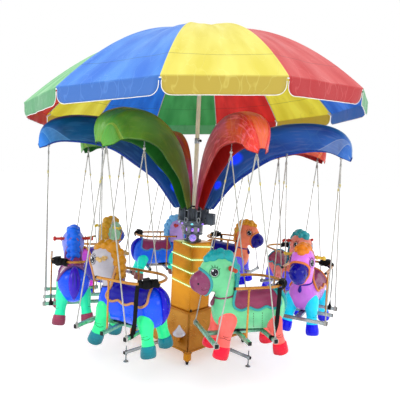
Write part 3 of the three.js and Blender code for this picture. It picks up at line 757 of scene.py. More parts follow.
# %% Hub
hub = Kit(hub_paint, steel, dark_steel, hub_block_paint, slate_paint, violet_glow, cyan_glow, black_plastic)
hub.add(turned([(0, 1.0303), (0.089, 1.0303), (0.092, 1.033), (0.092, 1.044), (0.089, 1.047), (0.070, 1.047),
                (0.068, 1.050), (0.068, 1.108), (0.072, 1.110), (0.089, 1.110), (0.092, 1.113), (0.092, 1.124),
                (0.096, 1.128), (0.131, 1.128), (0.134, 1.131), (0.134, 1.147), (0.131, 1.150), (0.128, 1.150),
                (0.128, 1.163), (0.126, 1.165), (0.036, 1.165), (0.034, 1.168), (0.034, 1.270), (0.031, 1.273),
                (0.0208, 1.273), (0.0208, 1.1697), (0, 1.1697)], 56), hub_paint)
for k in range(8):
    stud = Matrix.Rotation(radians(FIRST_ARM + 45 * k), 4, "Z")
    hub.add(block((0.026, 0.034, 0.064), (0.078, 0, 1.0785), 0.003, 3), hub_block_paint, stud)
    hub.add(turned([(0, 0.0), (0.006, 0.0), (0.006, 0.003), (0.005, 0.004), (0, 0.004)], 6, "X"), steel,
            stud @ Matrix.Translation((0.091, 0, 1.078)))
for k in range(12):
    spot = Matrix.Rotation(k * pi / 6 + 0.13, 4, "Z") @ Matrix.Translation((0.112, 0, 1.165))
    hub.add(turned([(0, 0.0), (0.006, 0.0), (0.006, 0.0035), (0.005, 0.0045), (0, 0.0045)], 6), steel, spot)
for k in range(8):
    between = Matrix.Rotation(radians(FIRST_ARM + 22.5 + 45 * k), 4, "Z")
    hub.add(block((0.010, 0.020, 0.030), (0.0715, 0, 1.078), 0.003, 2), violet_glow, between)
    hub.add(lump((0.133, 0, 1.139), (0.007, 0.013, 0.009), 0, 2), violet_glow if k % 2 else cyan_glow, between)
control_box = arm_place(3)
hub.add(block((0.070, 0.060, 0.105), (0.178, 0, 1.187), 0.005, 3), slate_paint, control_box)
hub.add(block((0.003, 0.052, 0.096), (0.2135, 0, 1.187), 0.001), slate_paint, control_box)
for y in (-0.021, 0.021):
    for z in (1.146, 1.228):
        hub.add(turned([(0, 0.002), (0.0028, 0.0015), (0.0036, 0)], 10, "X"), steel,
                control_box @ Matrix.Translation((0.2148, y, z)))
hub.add(disc_rod(0.008, 1.124, 1.136, (0.178, 0.012), 12), black_plastic, control_box)
for i in ARMS:
    place = arm_place(i)
    for side in (-1, 1):
        cheek = block((0.048, 0.006, 0.1165), (0, 0, 0), 0)
        corners = [e for e in cheek.edges if all(v.co.z > 0 for v in e.verts)
                   and abs(e.verts[0].co.x - e.verts[1].co.x) < 1e-5]
        bmesh.ops.bevel(cheek, geom=corners, offset=0.016, segments=5, profile=0.5, affect="EDGES", material=-1)
        bmesh.ops.bevel(cheek, geom=cheek.edges[:], offset=0.0009, segments=1, profile=0.5, affect="EDGES",
                        material=-1)
        bmesh.ops.translate(cheek, vec=(0.121, side * 0.0178, 1.22375), verts=cheek.verts)
        hub.add(cheek, hub_paint, place)
    hub.add(block((0.010, 0.0416, 0.1165), (0.092, 0, 1.22375), 0.002), hub_paint, place)
    shackle = [Vector((0.1490, 0.0130 * cos(a), 1.176 + 0.024 * sin(a)))
               for a in (2 * pi * j / 18 for j in range(19))]
    hub.add(sweep(shackle, 0.0030, 8, up=(1, 0, 0)), steel, place)
    for z in (1.192, 1.262):
        hub.add(turned([(0, -0.0212), (0.0045, -0.0212), (0.0045, 0.0212), (0, 0.0212)], 12, "Y"), steel,
                place @ Matrix.Translation((0.136, 0, z)))
        for side in (-1, 1):
            hub.add(turned([(0, 0), (0.0085, 0), (0.0085, 0.004), (0.007, 0.0055), (0, 0.0055)], 6, "Y"), dark_steel,
                    place @ Matrix.Translation((0.136, side * 0.0208, z)) @ Matrix.Rotation(0 if side > 0 else pi, 4,
                    "Z"))
put_on(hub.piece("hub_casting"), "rotor", "hub_steel", "hub")

# %% [markdown]
# ## Pole
# The pole is cream enamelled tube in two lengths, the upper one a little thinner. A clamping sleeve with a wing screw
# holds them where they meet, and a black collar rests on the hub's socket. The profile of each sleeve closes on
# itself, so that the spun tube has a real wall.

# %% Pole
pole = Kit(pole_cream, steel, black_plastic)
pole.add(turned([(0, 1.170), (0.0192, 1.170), (0.020, 1.1708), (0.020, 1.905), (0.0192, 1.907), (0.0192, 2.838),
                 (0.0175, 2.842), (0, 2.842)], 36), pole_cream)
pole.add(turned([(0.0195, 1.880), (0.0232, 1.881), (0.024, 1.884), (0.024, 1.926), (0.0232, 1.929), (0.0188, 1.930),
                 (0.0195, 1.880)], 32), steel)
pole.add(turned([(0.0195, 1.2858), (0.026, 1.2858), (0.028, 1.288), (0.026, 1.292), (0.023, 1.300), (0.0205, 1.301),
                 (0.0195, 1.2858)], 32), black_plastic)
pole.add(turned([(0, 0), (0.004, 0), (0.004, 0.016), (0.012, 0.018), (0.0125, 0.026), (0.010, 0.029), (0, 0.029)], 12,
                "X"), black_plastic, Matrix.Translation((0.023, 0, 1.905)))
put_on(pole.piece("umbrella_pole_tube"), "rotor", "pole_enamel", "umbrella_pole")

# %% [markdown]
# ## Arms and petals
# Each arm is a bent tube that rises from its bracket and reaches out over a pony. A leaf of shiny coated cloth is
# stretched over it: a crown strip along the top, a flap down each side, and a tip that folds down. The leaf is
# described by ten stations. Each gives a point of the crown, a point of the lower edge and a half width. A smooth
# line through them gives the curve of a real leaf, and the arm follows the same line, a little below the cloth.

# %% The line of a leaf
STATIONS = [((94, 1300), (188, 1278), 27), ((150, 1510), (302, 1428), 36), ((232, 1670), (410, 1555), 46),
            ((360, 1838), (580, 1672), 58), ((560, 1968), (770, 1776), 72), ((830, 2046), (975, 1826), 85),
            ((1110, 2048), (1145, 1829), 90), ((1280, 1996), (1262, 1808), 86), ((1365, 1910), (1322, 1780), 68),
            ((1386, 1790), (1374, 1758), 24)]
crown_line = smooth_line([(r / 1000, 0, z / 1000) for (r, z), edge, half in STATIONS], 6)
edge_line = smooth_line([(r / 1000, 0, z / 1000) for crown, (r, z), half in STATIONS], 6)
half_line = smooth_line([(half / 1000, 0, 0) for crown, edge, half in STATIONS], 6)


def under_crown(k, distance):
    """A point below the crown, square to it."""
    along = (crown_line[min(k + 1, len(crown_line) - 1)] - crown_line[max(k - 1, 0)]).normalized()
    return crown_line[k] + Vector((along.z, 0, -along.x)) * distance


arm_line = [Vector((0.1107, 0, z)) for z in (1.1653, 1.200, 1.240)] + [under_crown(k, 0.0171)
                                                                       for k in range(0, 51, 2)]
print("The arm is", round(sum((b - a).length for a, b in zip(arm_line, arm_line[1:])), 2), "metres long")

# %% [markdown]
# A welded eye hangs from the arm at each end of a seat. A rod comes down from the tube to it, and the knob of the
# rope sling hangs just below.

# %% Arms
arm_master = Kit(dark_steel, steel)
arm_master.add(sweep(arm_line, 0.0122, 14, up=(0, 1, 0)), dark_steel)
for reach in (0.859, 1.303):
    k = min(range(len(arm_line)), key=lambda n: abs(arm_line[n].x - reach))
    top = arm_line[k].z - 0.004
    arm_master.add(disc_rod(0.0045, 1.7925, top, (reach, 0), 12, 0.001), steel)
    arm_master.add(disc_rod(0.010, top - 0.016, top - 0.006, (reach, 0), 6, 0.001), steel)
    ring = [(0.0078 * cos(a) + reach, 0, 1.8035 + 0.0078 * sin(a)) for a in (2 * pi * j / 16 for j in range(17))]
    arm_master.add(sweep(ring, 0.0026, 8, up=(0, 1, 0)), steel)
for k in (14, 40):
    middle = under_crown(k, 0.0171)
    along = (under_crown(k + 1, 0.0171) - middle).to_track_quat("Z", "Y").to_matrix().to_4x4()
    clamp = turned([(0.0118, -0.012), (0.0138, -0.011), (0.0142, 0), (0.0138, 0.011), (0.0118, 0.012),
                    (0.0118, -0.012)], 20)
    arm_master.add(clamp, steel, Matrix.Translation(middle) @ along)
arm_master = arm_master.piece("arm_master")
for i in ARMS:
    put_on(copy_at(arm_master, f"arm_tube_{i}", arm_place(i)), "rotor", "arm_steel", f"arm_{i}")
bpy.data.objects.remove(arm_master, do_unlink=True)

# %% [markdown]
# The leaf's cloth is coated with a smooth film, so it shines like oilcloth. Small LEDs near its foot shine through.
# The cloth's own UVs run across and along the leaf, from 0 to 1, so the glow and the seams stay where they were sewn
# on. The lining is the same colour, but darker, and it glows a little, as cloth does with light behind it. Near the
# tip each flap has one pressed pleat: a triangle that starts beside the crown and widens towards the edge, with a
# painted highlight on it and a bright painted highlight line on both its folds. The crest, the crumples of the film
# and thin streaks along the leaf get painted highlights as well.

# %% Pleats
PLEAT_START = 0.38
# Where a pleat starts, and how far both its folds run along the edge
NARROW_PLEAT, WIDE_PLEAT = (0.90, 0.152, 0.122), (0.925, 0.27, 0.12)


def pleat_share(s, v, pleat):
    """How far a point of the leaf is across the pleat, from 0 to 1. s is 0 on the crown and 1 at the edge."""
    start, long_run, short_run = pleat
    t = (s - PLEAT_START) / (1 - PLEAT_START)
    if t <= 0:
        return 0.0
    return min(1.0, max(0.0, (v - start + long_run * t) / ((long_run - short_run) * t)))


print("A wide pleat takes", round(WIDE_PLEAT[1] - WIDE_PLEAT[2], 3), "of the edge")


# %% Leaf finishes
def leaf_cloth(name, bright, deep, low, tip, line, glow, glow_strength, crest_highlight, pleat=NARROW_PLEAT, spots=(),
               gathered=0.1):
    """Coated cloth: two tones in slow folds, other tones at the foot and tip, a pleat, lights under it, and painted
    highlights on the crest, on streaks and crumples of the film and on the pleat.
    """
    material = new_finish(name, 0.42, coat=0.04, gloss=0.35)
    start, long_run, short_run = pleat
    leaf = coordinates("Leaf")
    cut = coordinates("UVMap")
    split = node("SeparateXYZ", Vector=leaf)
    across, along = split.outputs["X"], split.outputs["Y"]
    flank = times(calc("ABSOLUTE", minus(across, 0.5)), 2.0)
    stretched = node("Mapping", Vector=cut, Scale=(7.0, 1.5, 1.0)).outputs["Vector"]
    folds = cloud(stretched, 1.3, 2.0, 0.5)
    tone = mix(remap(folds, 0.40, 0.60), bright, deep)
    tone = mix(remap(along, 0.70, 0.96), tone, tip)
    foot = remap(along, 0.46, 0.14)
    tone = mix(times(foot, remap(folds, 0.25, 0.7, 0.5, 1.0)), tone, low)
    t = remap(flank, PLEAT_START, 1.0)
    rise = plus(minus(along, start), times(t, long_run))
    fall = minus(times(t, long_run - short_run), rise)
    inner = calc("MINIMUM", rise, fall)
    pleat_facet_highlight = times(remap(inner, 0.0, 0.004), remap(t, 0.0, 0.05))
    nearest = calc("MINIMUM", calc("ABSOLUTE", rise), calc("ABSOLUTE", fall))
    pleat_fold_highlight = times(remap(nearest, 0.004, 0.001), remap(t, 0.0, 0.05))
    # Painted highlight: the crest along the middle of the crown strip is lightened.
    tone = mix(times(remap(flank, 0.36, 0.30), 0.5), tone, crest_highlight)
    streaks = node("Mapping", Vector=cut, Scale=(90.0, 5.0, 1.0)).outputs["Vector"]
    streaks = cloud(streaks, 1.0, 1.0)
    ends = calc("MAXIMUM", remap(along, 0.93, 1.0), remap(along, 0.10, 0.0))
    ends = calc("MAXIMUM", ends, gathered)
    # Painted highlights: thin light lines along the streaks, strongest at the ends of the leaf.
    tone = mix(times(remap(streaks, 0.55, 0.63), ends), tone, line)
    cells = node("Mapping", Vector=cut, Scale=(11.0, 6.0, 1.0)).outputs["Vector"]
    cells = node("TexVoronoi", {"feature": "DISTANCE_TO_EDGE"}, Vector=cells, Scale=1.0).outputs["Distance"]
    crumple_highlight = remap(cells, 0.035, 0.0)
    rumpled = times(remap(along, 0.30, 0.60), 0.25 + 0.55 * gathered)
    crumple_highlight = times(crumple_highlight, rumpled)
    # Painted highlights on the edges of the crumpled film, in the crest's colour.
    tone = mix(times(crumple_highlight, 0.55), tone, crest_highlight)
    # Painted highlights: the pleat's facet is lightened, and both its folds get a bright line.
    tone = mix(times(pleat_facet_highlight, 0.30), tone, line)
    tone = mix(times(pleat_fold_highlight, 0.7), tone, line)
    for_led = remap(calc("ABSOLUTE", minus(along, 0.16)), 0.12, 0.02)
    light = times(for_led, remap(flank, 0.75, 0.2))
    hue = mix(remap(cloud(cut, 7.0), 0.4, 0.6), glow, low)
    for u, v, size in spots:
        du = times(minus(across, u), 1.5)
        dv = times(minus(along, v), 1.95)
        away = calc("SQRT", plus(calc("POWER", du, 2.0), calc("POWER", dv, 2.0)))
        spot = remap(away, size, 0.4 * size)
        light = calc("MAXIMUM", light, spot)
        hue = mix(spot, hue, glow)
        tone = mix(times(spot, 0.85), tone, low)
    feed("Base Color", tone)
    feed("Emission Color", hue)
    feed("Emission Strength", times(light, glow_strength))
    feed("Roughness", remap(folds, 0.3, 0.7, 0.26, 0.46))
    relief = plus(times(folds, 2.0), times(streaks, ends))
    faces_of_film = times(remap(cells, 0.0, 0.5, 0.0, 2.5), rumpled)
    bump(plus(relief, faces_of_film), 0.7, 0.006)
    return material


def lining(name, colour, dark):
    material = new_finish(name, 0.6, gloss=0.3)
    where = coordinates("UVMap")
    weave = node("TexChecker", Vector=where, Scale=900.0).outputs["Fac"]
    folds = cloud(where, 6.0, 4.0)
    feed("Base Color", mix(remap(folds, 0.3, 0.7), colour, dark))
    feed("Roughness", remap(folds, 0.3, 0.7, 0.5, 0.75))
    bump(plus(times(weave, 0.1), folds), 0.3, 0.002)
    feed("Emission Color", mix(folds, colour, dark))
    constant(Emission_Strength=0.45)
    return material


# Of each leaf's colours, the fifth is the painted highlight of its lines and folds, and the last is the painted crest
# highlight.
leaf_green = leaf_cloth("leaf_green", rgb(82, 138, 44), rgb(58, 108, 28), rgb(96, 104, 40), rgb(84, 160, 60),
                        rgb(150, 170, 60), rgb(60, 160, 60), 0.15, rgb(104, 150, 60))
leaf_red = leaf_cloth("leaf_red", rgb(216, 74, 44), rgb(186, 40, 34), rgb(176, 40, 96), rgb(226, 54, 44),
                      rgb(232, 100, 110), rgb(230, 40, 200), 0.8, rgb(232, 128, 76), gathered=0.8)
leaf_blue = leaf_cloth("leaf_blue", rgb(36, 98, 190), rgb(24, 76, 164), rgb(24, 86, 150), rgb(44, 104, 190),
                       rgb(150, 170, 200), rgb(12, 16, 255), 1.2, rgb(74, 134, 186), WIDE_PLEAT,
                       [(0.15, 0.31, 0.09), (0.12, 0.14, 0.07)])
leaf_teal = leaf_cloth("leaf_teal", rgb(2, 84, 134), rgb(0, 62, 106), rgb(20, 70, 170), rgb(34, 124, 224),
                       rgb(90, 160, 220), rgb(30, 60, 255), 1.0, rgb(10, 96, 140), WIDE_PLEAT,
                       [(0.85, 0.24, 0.08), (0.87, 0.11, 0.06)])
leaf_amber = leaf_cloth("leaf_amber", rgb(206, 70, 34), rgb(170, 34, 26), rgb(160, 40, 80), rgb(196, 40, 30),
                        rgb(236, 140, 70), rgb(200, 60, 220), 0.2, rgb(206, 92, 40), gathered=0.3)
lining_green = lining("lining_green", rgb(34, 92, 36), rgb(18, 58, 22))
lining_red = lining("lining_red", rgb(140, 26, 22), rgb(92, 12, 14))
lining_blue = lining("lining_blue", rgb(22, 62, 150), rgb(12, 38, 104))


def trim(name, colour, shade, roughness):
    return worn(name, colour, shade, roughness, 0.1, cloud_scale=20.0)


seam_green = trim("seam_green", rgb(120, 160, 60), rgb(84, 124, 40), 0.4)
seam_blue = trim("seam_blue", rgb(60, 116, 206), rgb(36, 84, 176), 0.35)
seam_red = trim("seam_red", rgb(226, 92, 70), rgb(190, 56, 46), 0.35)
hem_green = trim("hem_green", rgb(44, 92, 36), rgb(28, 66, 24), 0.4)
hem_blue = trim("hem_blue", rgb(18, 66, 150), rgb(10, 44, 110), 0.4)
hem_red = trim("hem_red", rgb(150, 32, 28), rgb(110, 18, 18), 0.4)
print("Leaf cloth in green, red, blue, teal and amber")

# %% [markdown]
# A grid is the natural start for cloth: its rows become lines across the leaf and its columns lines along it. Each
# vertex is moved to its place on the leaf, with a few millimetres of folds that run along the leaf and fade towards
# the crown, where the cloth is pulled tight over the tube. Solidify then gives it the thickness of coated cloth.


# %% Petals
SECTION = smooth_line([(-1.06, 1.0, 0), (-0.94, 0.2, 0), (-0.45, 0.0, 0), (0.45, 0.0, 0), (0.94, 0.2, 0),
                       (1.06, 1.0, 0)], 5)


def on_leaf(u, v, seed):
    """The point of the leaf at share u across and v along."""
    k = v * (len(crown_line) - 1)
    k0 = min(int(k), len(crown_line) - 2)
    f = k - k0
    crown = crown_line[k0].lerp(crown_line[k0 + 1], f)
    drop = edge_line[k0].lerp(edge_line[k0 + 1], f) - crown
    half = half_line[k0].lerp(half_line[k0 + 1], f).x
    j = u * (len(SECTION) - 1)
    j0 = min(int(j), len(SECTION) - 2)
    a, d = SECTION[j0].lerp(SECTION[j0 + 1], j - j0).xy
    flap = min(1.0, max(0.0, abs(u - 0.5) * 2 - 0.34) * 1.8)
    ends = min(1.0, (1 - v) * 9, v * 8 + 0.15)
    wave = noise.noise(Vector((u * 4.5 + seed * 7.1, v * 5.5, seed * 3.3)))
    fine = noise.noise(Vector((u * 9 + seed, v * 15 - seed, 5.0)))
    out = (wave * 0.010 + fine * 0.0025) * flap * ends
    side = 1 if a > 0 else -1
    scallop = 0.006 * sin(v * 21 + seed) * flap * ends * max(0, d)
    point = crown + drop * (d * (1.0 + scallop * 3)) + Vector((0, a * half + side * out, 0))
    press = sin(pi * pleat_share(abs(u - 0.5) * 2, v, WIDE_PLEAT if seed in (3, 8) else NARROW_PLEAT))
    point.y -= side * 0.007 * press * flap
    return point + Vector((0, 0, fine * 0.0012 * (1 - flap)))


def petal(name, i, cloth, inside, seam, hem):
    across, along = 40, 96
    rows = [[on_leaf(u / across, v / along, i) for u in range(across + 1)] for v in range(along + 1)]
    bm = bmesh.new()
    bmesh.ops.create_grid(bm, x_segments=across, y_segments=along, size=0.5)
    share = {vert: (vert.co.x + 0.5, vert.co.y + 0.5) for vert in bm.verts}
    metres = bm.loops.layers.uv.new("UVMap")
    leaf = bm.loops.layers.uv.new("Leaf")
    for face in bm.faces:
        face.smooth = True
        for loop in face.loops:
            u, v = share[loop.vert]
            loop[leaf].uv = (u, v)
            loop[metres].uv = ((u - 0.5) * 0.55, v * 1.95)
    for vert, (u, v) in share.items():
        vert.co = arm_place(i) @ on_leaf(u, v, i)
    bm.normal_update()
    middle = min(bm.faces, key=lambda f: abs(share[f.verts[0]][0] - 0.5) + abs(share[f.verts[0]][1] - 0.6))
    if middle.normal.z < 0:
        bmesh.ops.reverse_faces(bm, faces=bm.faces)
    area = sum(face.calc_area() for face in bm.faces)
    mesh = as_mesh(name, bm)
    mesh.materials.append(cloth)
    mesh.materials.append(inside)
    obj = as_object(name, mesh)
    thickened(obj, 0.0022, 1, 0)
    put_on(obj, "rotor", SLOT_OF_LEAF[i], f"petal_{i}")
    seams = Kit(seam, hem)
    for u in (0.335, 0.665):
        line = [arm_place(i) @ (on_leaf(u, v / 60, i) + Vector((0, 0, 0.0004))) for v in range(1, 58)]
        seams.add(sweep(line, 0.0011, 6), seam)
    for u in (0.0, 1.0):
        line = [arm_place(i) @ on_leaf(u, v / 96, i) for v in range(0, 97)]
        seams.add(sweep(line, 0.0022, 6), hem)
    for v in (0.0, 1.0):
        line = [arm_place(i) @ on_leaf(u / 24, v, i) for u in range(0, 25)]
        seams.add(sweep(line, 0.0022, 6), hem)
    piping = seams.piece(name + "_piping")
    put_on(piping, "rotor", SLOT_OF_LEAF[i])
    return area


GREEN, RED, BLUE = (lining_green, seam_green, hem_green), (lining_red, seam_red, hem_red), (lining_blue, seam_blue,
        hem_blue)
LEAVES = {1: (leaf_green, *GREEN), 2: (leaf_red, *RED), 3: (leaf_blue, *BLUE), 4: (leaf_amber, *RED),
          5: (leaf_green, *GREEN), 6: (leaf_amber, *RED), 7: (leaf_green, *GREEN), 8: (leaf_teal, *BLUE)}
SLOT_OF_LEAF = {1: "petal_green", 2: "petal_red", 3: "petal_blue", 4: "petal_red", 5: "petal_green", 6: "petal_red",
                7: "petal_green", 8: "petal_blue"}
leaf_areas = [petal(f"petal_cloth_{i}", i, *LEAVES[i]) for i in ARMS]
print("Cloth in each leaf:", [round(a, 3) for a in leaf_areas], "square metres")

# %% [markdown]
# ## Umbrella
# The cover has twelve gores in four colours. Between the ribs each gore is pulled straight, and the ribs bend down
# like a bow, so the height falls slowly at first and then faster. The whole cover leans a little to one side. One
# grid per gore runs from the top to the rim and on down into the hanging valance, whose lower corners are round. The
# gores are welded where they meet, and the folds are a few millimetres of noise that fan out from the top.

# %% The umbrella's curve
RIB_STEP = radians(30)
FIRST_RIB = radians(6)
RIM, FOLD, RISE, BOW = 1.5, 2.197, 0.690, 2.15       # metres but for the bow, a power
TILT = 0.0633                          # how much higher the rim lies for each metre towards its high side
VALANCE = 0.115                        # how far it hangs down


def tilted(x, y):
    return TILT * (x + y) / sqrt(2)


def dome(share, angle, inset=0.0):
    """A point on the straight line between two ribs, at a share of the way from the top to the rim."""
    k = (angle - FIRST_RIB) / RIB_STEP
    across = (k - int(k // 1)) - 0.5
    reach = RIM * share * cos(RIB_STEP / 2) / cos(across * RIB_STEP)
    x, y = reach * cos(angle), reach * sin(angle)
    return Vector((x, y, FOLD + RISE * (1 - share ** BOW) + tilted(x, y) - inset))


def rim_panel(share_across, depth, k):
    """A point of the valance that hangs from gore k."""
    half = RIM * sin(RIB_STEP / 2)
    corner = 0.062
    narrow = 0.009 * min(1.0, depth / 0.008)
    if depth > VALANCE - corner:
        narrow += corner - sqrt(max(0.0, corner ** 2 - (depth - VALANCE + corner) ** 2))
    out = Vector((cos(FIRST_RIB + (k + 0.5) * RIB_STEP), sin(FIRST_RIB + (k + 0.5) * RIB_STEP), 0))
    along = Vector((-out.y, out.x, 0))
    place = out * (RIM * cos(RIB_STEP / 2)) + along * ((share_across - 0.5) * 2 * (half - narrow))
    sway = noise.noise(Vector((share_across * 5 + k * 3.7, depth * 8, 1.3))) * 0.012 + 0.005 * sin(share_across * 19
            + k)
    place -= out * (0.0015 + abs(sway) * depth / VALANCE)
    return place + Vector((0, 0, FOLD - depth + tilted(place.x, place.y)))


print("The cover's top is at", round(dome(0, 0).z, 3), "metres")

# %% [markdown]
# The cover is thin polyester. Outside it looks paler in the studio light, and inside the colours are deeper because
# light comes through. So there is one cloth for the outside and one for the inside of each colour. Solidify gives the
# inner faces the second one. A seam runs round the cover near the rim, and each gore has a felled seam along its
# ribs.


# %% Cover finishes
def cover_cloth(name, colour, faded, valance, inside):
    """The cloth of a gore. Its UV map Gore runs across the gore and down from the top, past 1 on the valance."""
    material = new_finish(name, 0.62 if inside else 0.5, sheen=0.0 if inside else 0.1, gloss=0.3)
    cut = coordinates("UVMap")
    gore = coordinates("Gore")
    split = node("SeparateXYZ", Vector=gore)
    across, down = split.outputs["X"], split.outputs["Y"]
    loose = node("Mapping", Vector=gore, Scale=(3.4, 2.6, 1.0)).outputs["Vector"]
    folds = cloud(loose, 1.3, 2.0, 0.5)
    tone = mix(remap(folds, 0.36, 0.64), colour, faded)
    ridge = calc("ABSOLUTE", minus(cloud(loose, 2.3, 1.0), 0.5))
    ridge = times(remap(ridge, 0.016, 0.0), remap(down, 0.15, 0.5))
    rays = node("Mapping", Vector=gore, Scale=(24.0, 0.8, 1.0)).outputs["Vector"]
    rays = times(cloud(rays, 1.0, 2.0), remap(down, 0.42, 0.08))
    hanging = remap(down, 0.995, 1.005)
    # Painted shade: the upright valance gets a deeper colour than the top of the cover.
    tone = mix(hanging, tone, valance)
    edge = minus(0.5, calc("ABSOLUTE", minus(across, 0.5)))
    width = calc("DIVIDE", 0.006, calc("MAXIMUM", times(down, 0.78), 0.02))
    seam = calc("LESS_THAN", edge, width)
    cross = calc("LESS_THAN", calc("ABSOLUTE", minus(down, 0.87)), 0.0018)
    dark = tuple(c * 0.35 for c in colour[:3]) + (1.0,)
    light = tuple(min(1.0, c * 1.2 + 0.12) for c in colour[:3]) + (1.0,)
    tone = mix(times(cross, 0.6), tone, dark)
    tone = mix(times(seam, 0.22), tone, dark if inside else light)
    # Painted highlight and shade: the crease ridges are lightened outside and darkened inside.
    tone = mix(times(ridge, 0.16), tone, dark if inside else light)
    feed("Base Color", tone)
    weave = node("TexChecker", Vector=cut, Scale=1400.0).outputs["Fac"]
    stitches = node("TexWave", {"bands_direction": "X"}, Vector=cut, Scale=60.0).outputs["Fac"]
    height = plus(times(folds, 2.6), times(weave, 0.03))
    height = plus(height, plus(times(rays, 0.9), times(ridge, 0.8)))
    height = minus(height, times(cross, stitches))
    feed("Roughness", remap(folds, 0.3, 0.7, 0.42, 0.66))
    bump(height, 0.5, 0.004)
    # Painted light: the inside glows a little, for the light that comes through the cloth.
    if inside:
        feed("Emission Color", tone)
        constant(Emission_Strength=0.4)
    return material


# The valance colours are the gores' colours made deeper: painted shade on the upright cloth.
SHADED_VALANCES = [rgb(84, 150, 104), rgb(60, 106, 180), rgb(178, 156, 64), rgb(172, 46, 50)]
OUTSIDE = [cover_cloth("cover_green", rgb(132, 200, 140), rgb(102, 180, 116), SHADED_VALANCES[0], False),
           cover_cloth("cover_blue", rgb(70, 138, 224), rgb(50, 112, 212), SHADED_VALANCES[1], False),
           cover_cloth("cover_yellow", rgb(228, 218, 98), rgb(216, 202, 74), SHADED_VALANCES[2], False),
           cover_cloth("cover_red", rgb(210, 80, 80), rgb(196, 56, 58), SHADED_VALANCES[3], False)]
INSIDE = [cover_cloth("cover_green_inside", rgb(56, 142, 74), rgb(42, 118, 60), SHADED_VALANCES[0], True),
          cover_cloth("cover_blue_inside", rgb(14, 110, 214), rgb(8, 88, 188), SHADED_VALANCES[1], True),
          cover_cloth("cover_yellow_inside", rgb(220, 212, 62), rgb(202, 190, 48), SHADED_VALANCES[2], True),
          cover_cloth("cover_red_inside", rgb(202, 36, 30), rgb(172, 26, 24), SHADED_VALANCES[3], True)]
white_piping = worn("white_piping", rgb(238, 238, 236), rgb(214, 214, 212), 0.6, 0.1, cloud_scale=14.0, grain=500.0)
print("Four cloths, each with an inside")


# %% Cover
def cover():
    bm = bmesh.new()
    for uv_map in ("UVMap", "Gore"):
        bm.loops.layers.uv.new(uv_map)
    across, rows, hang = 20, 34, 7
    total = rows + hang
    for k in range(12):
        part = bmesh.new()
        bmesh.ops.create_grid(part, x_segments=across, y_segments=total, size=0.5)
        uv_a = part.loops.layers.uv.new("UVMap")
        uv_b = part.loops.layers.uv.new("Gore")
        place = {}
        for vert in part.verts:
            u, row = vert.co.x + 0.5, round((vert.co.y + 0.5) * total)
            if row <= rows:
                share = (row / rows) ** 0.85
                angle = FIRST_RIB + (k + min(max(u, 1e-5), 1 - 1e-5)) * RIB_STEP
                point = dome(share, angle)
                free = sin(pi * u) * min(1.0, share * 2.2)
                fan = noise.noise(Vector((u * 4 + k * 5.3, share * 2.6, 2.0))) * 0.012 * (1 - 0.7 * share ** 6)
                cross = noise.noise(Vector((u * 3.0 + share * 5.5, k * 2.9, 8.0))) * 0.008 * share * (1
                        - 0.7 * share ** 6)
                sag = -0.080 * share * (1 - share)
                place[vert] = (point + Vector((0, 0, (fan + cross + sag) * free)), u, share)
            else:
                depth = VALANCE * (row - rows) / hang
                place[vert] = (rim_panel(u, depth, k), u, 1.0 + depth / 1.65)
        for vert, (point, u, share) in place.items():
            vert.co = point
        for face in part.faces:
            face.smooth = True
            face.material_index = k % 4
            for loop in face.loops:
                point, u, share = place[loop.vert]
                loop[uv_a].uv = ((u - 0.5) * 0.777 * min(share, 1.0), share * 1.65)
                loop[uv_b].uv = (u, share)
        part.normal_update()
        if sum((face.normal.z for face in part.faces if place[face.verts[0]][2] < 0.9)) < 0:
            bmesh.ops.reverse_faces(part, faces=part.faces)
        join(bm, as_mesh("gore", part))
    bmesh.ops.remove_doubles(bm, verts=bm.verts, dist=0.0004)
    creased(bm, 40)
    area = sum(face.calc_area() for face in bm.faces)
    mesh = as_mesh("canopy_cover", bm)
    for material in OUTSIDE + INSIDE:
        mesh.materials.append(material)
    obj = as_object("canopy_cover", mesh)
    thickened(obj, 0.0012, 4, 4)
    return obj, area


canopy_cover, cover_area = cover()
put_on(canopy_cover, "rotor", "canopy_fabric", "canopy")
print("Cloth in the cover:", round(cover_area, 2), "square metres")

# %% [markdown]
# White tape is folded round the valance's edge, and a small white pocket at each corner takes the tip of a rib. Both
# are pieces of their own, because they are sewn on.

# %% Tape and pockets
tape = Kit(white_piping, umbrella_white)
for k in range(12):
    outline = [(0.0, 0.03), (0.0, 0.05)] + [(0.0, d) for d in (0.070, 0.085, 0.097, 0.106, 0.112)]
    outline += [(u / 16, VALANCE) for u in range(17)]
    outline += [(1.0, d) for d in (0.112, 0.106, 0.097, 0.085, 0.070, 0.05, 0.03)]
    line = [rim_panel(u, d, k) for u, d in outline]
    clean = [line[0]]
    for point in line[1:]:
        if (point - clean[-1]).length > 0.004:
            clean.append(point)
    tape.add(sweep(clean, 0.0025, 6), white_piping)
    corner_angle = FIRST_RIB + k * RIB_STEP
    tip = Vector((1.492 * cos(corner_angle), 1.492 * sin(corner_angle), 0))
    tip.z = FOLD - 0.012 + tilted(tip.x, tip.y)
    turn = Matrix.Translation(tip) @ Matrix.Rotation(corner_angle, 4, "Z") @ Matrix.Rotation(radians(32), 4, "Y")
    tape.add(block((0.046, 0.020, 0.010), (-0.018, 0, 0), 0.004, 3), white_piping, turn)
tape_piece = tape.piece("canopy_tape")
put_on(tape_piece, "rotor", "canopy_fabric")

# %% [markdown]
# Under the cloth, twelve flat ribs fan out from the crown, and a stay props each of them from the runner that slides
# on the pole. The ribs follow the same bow as the cover, so they are swept along it, just below the cloth.

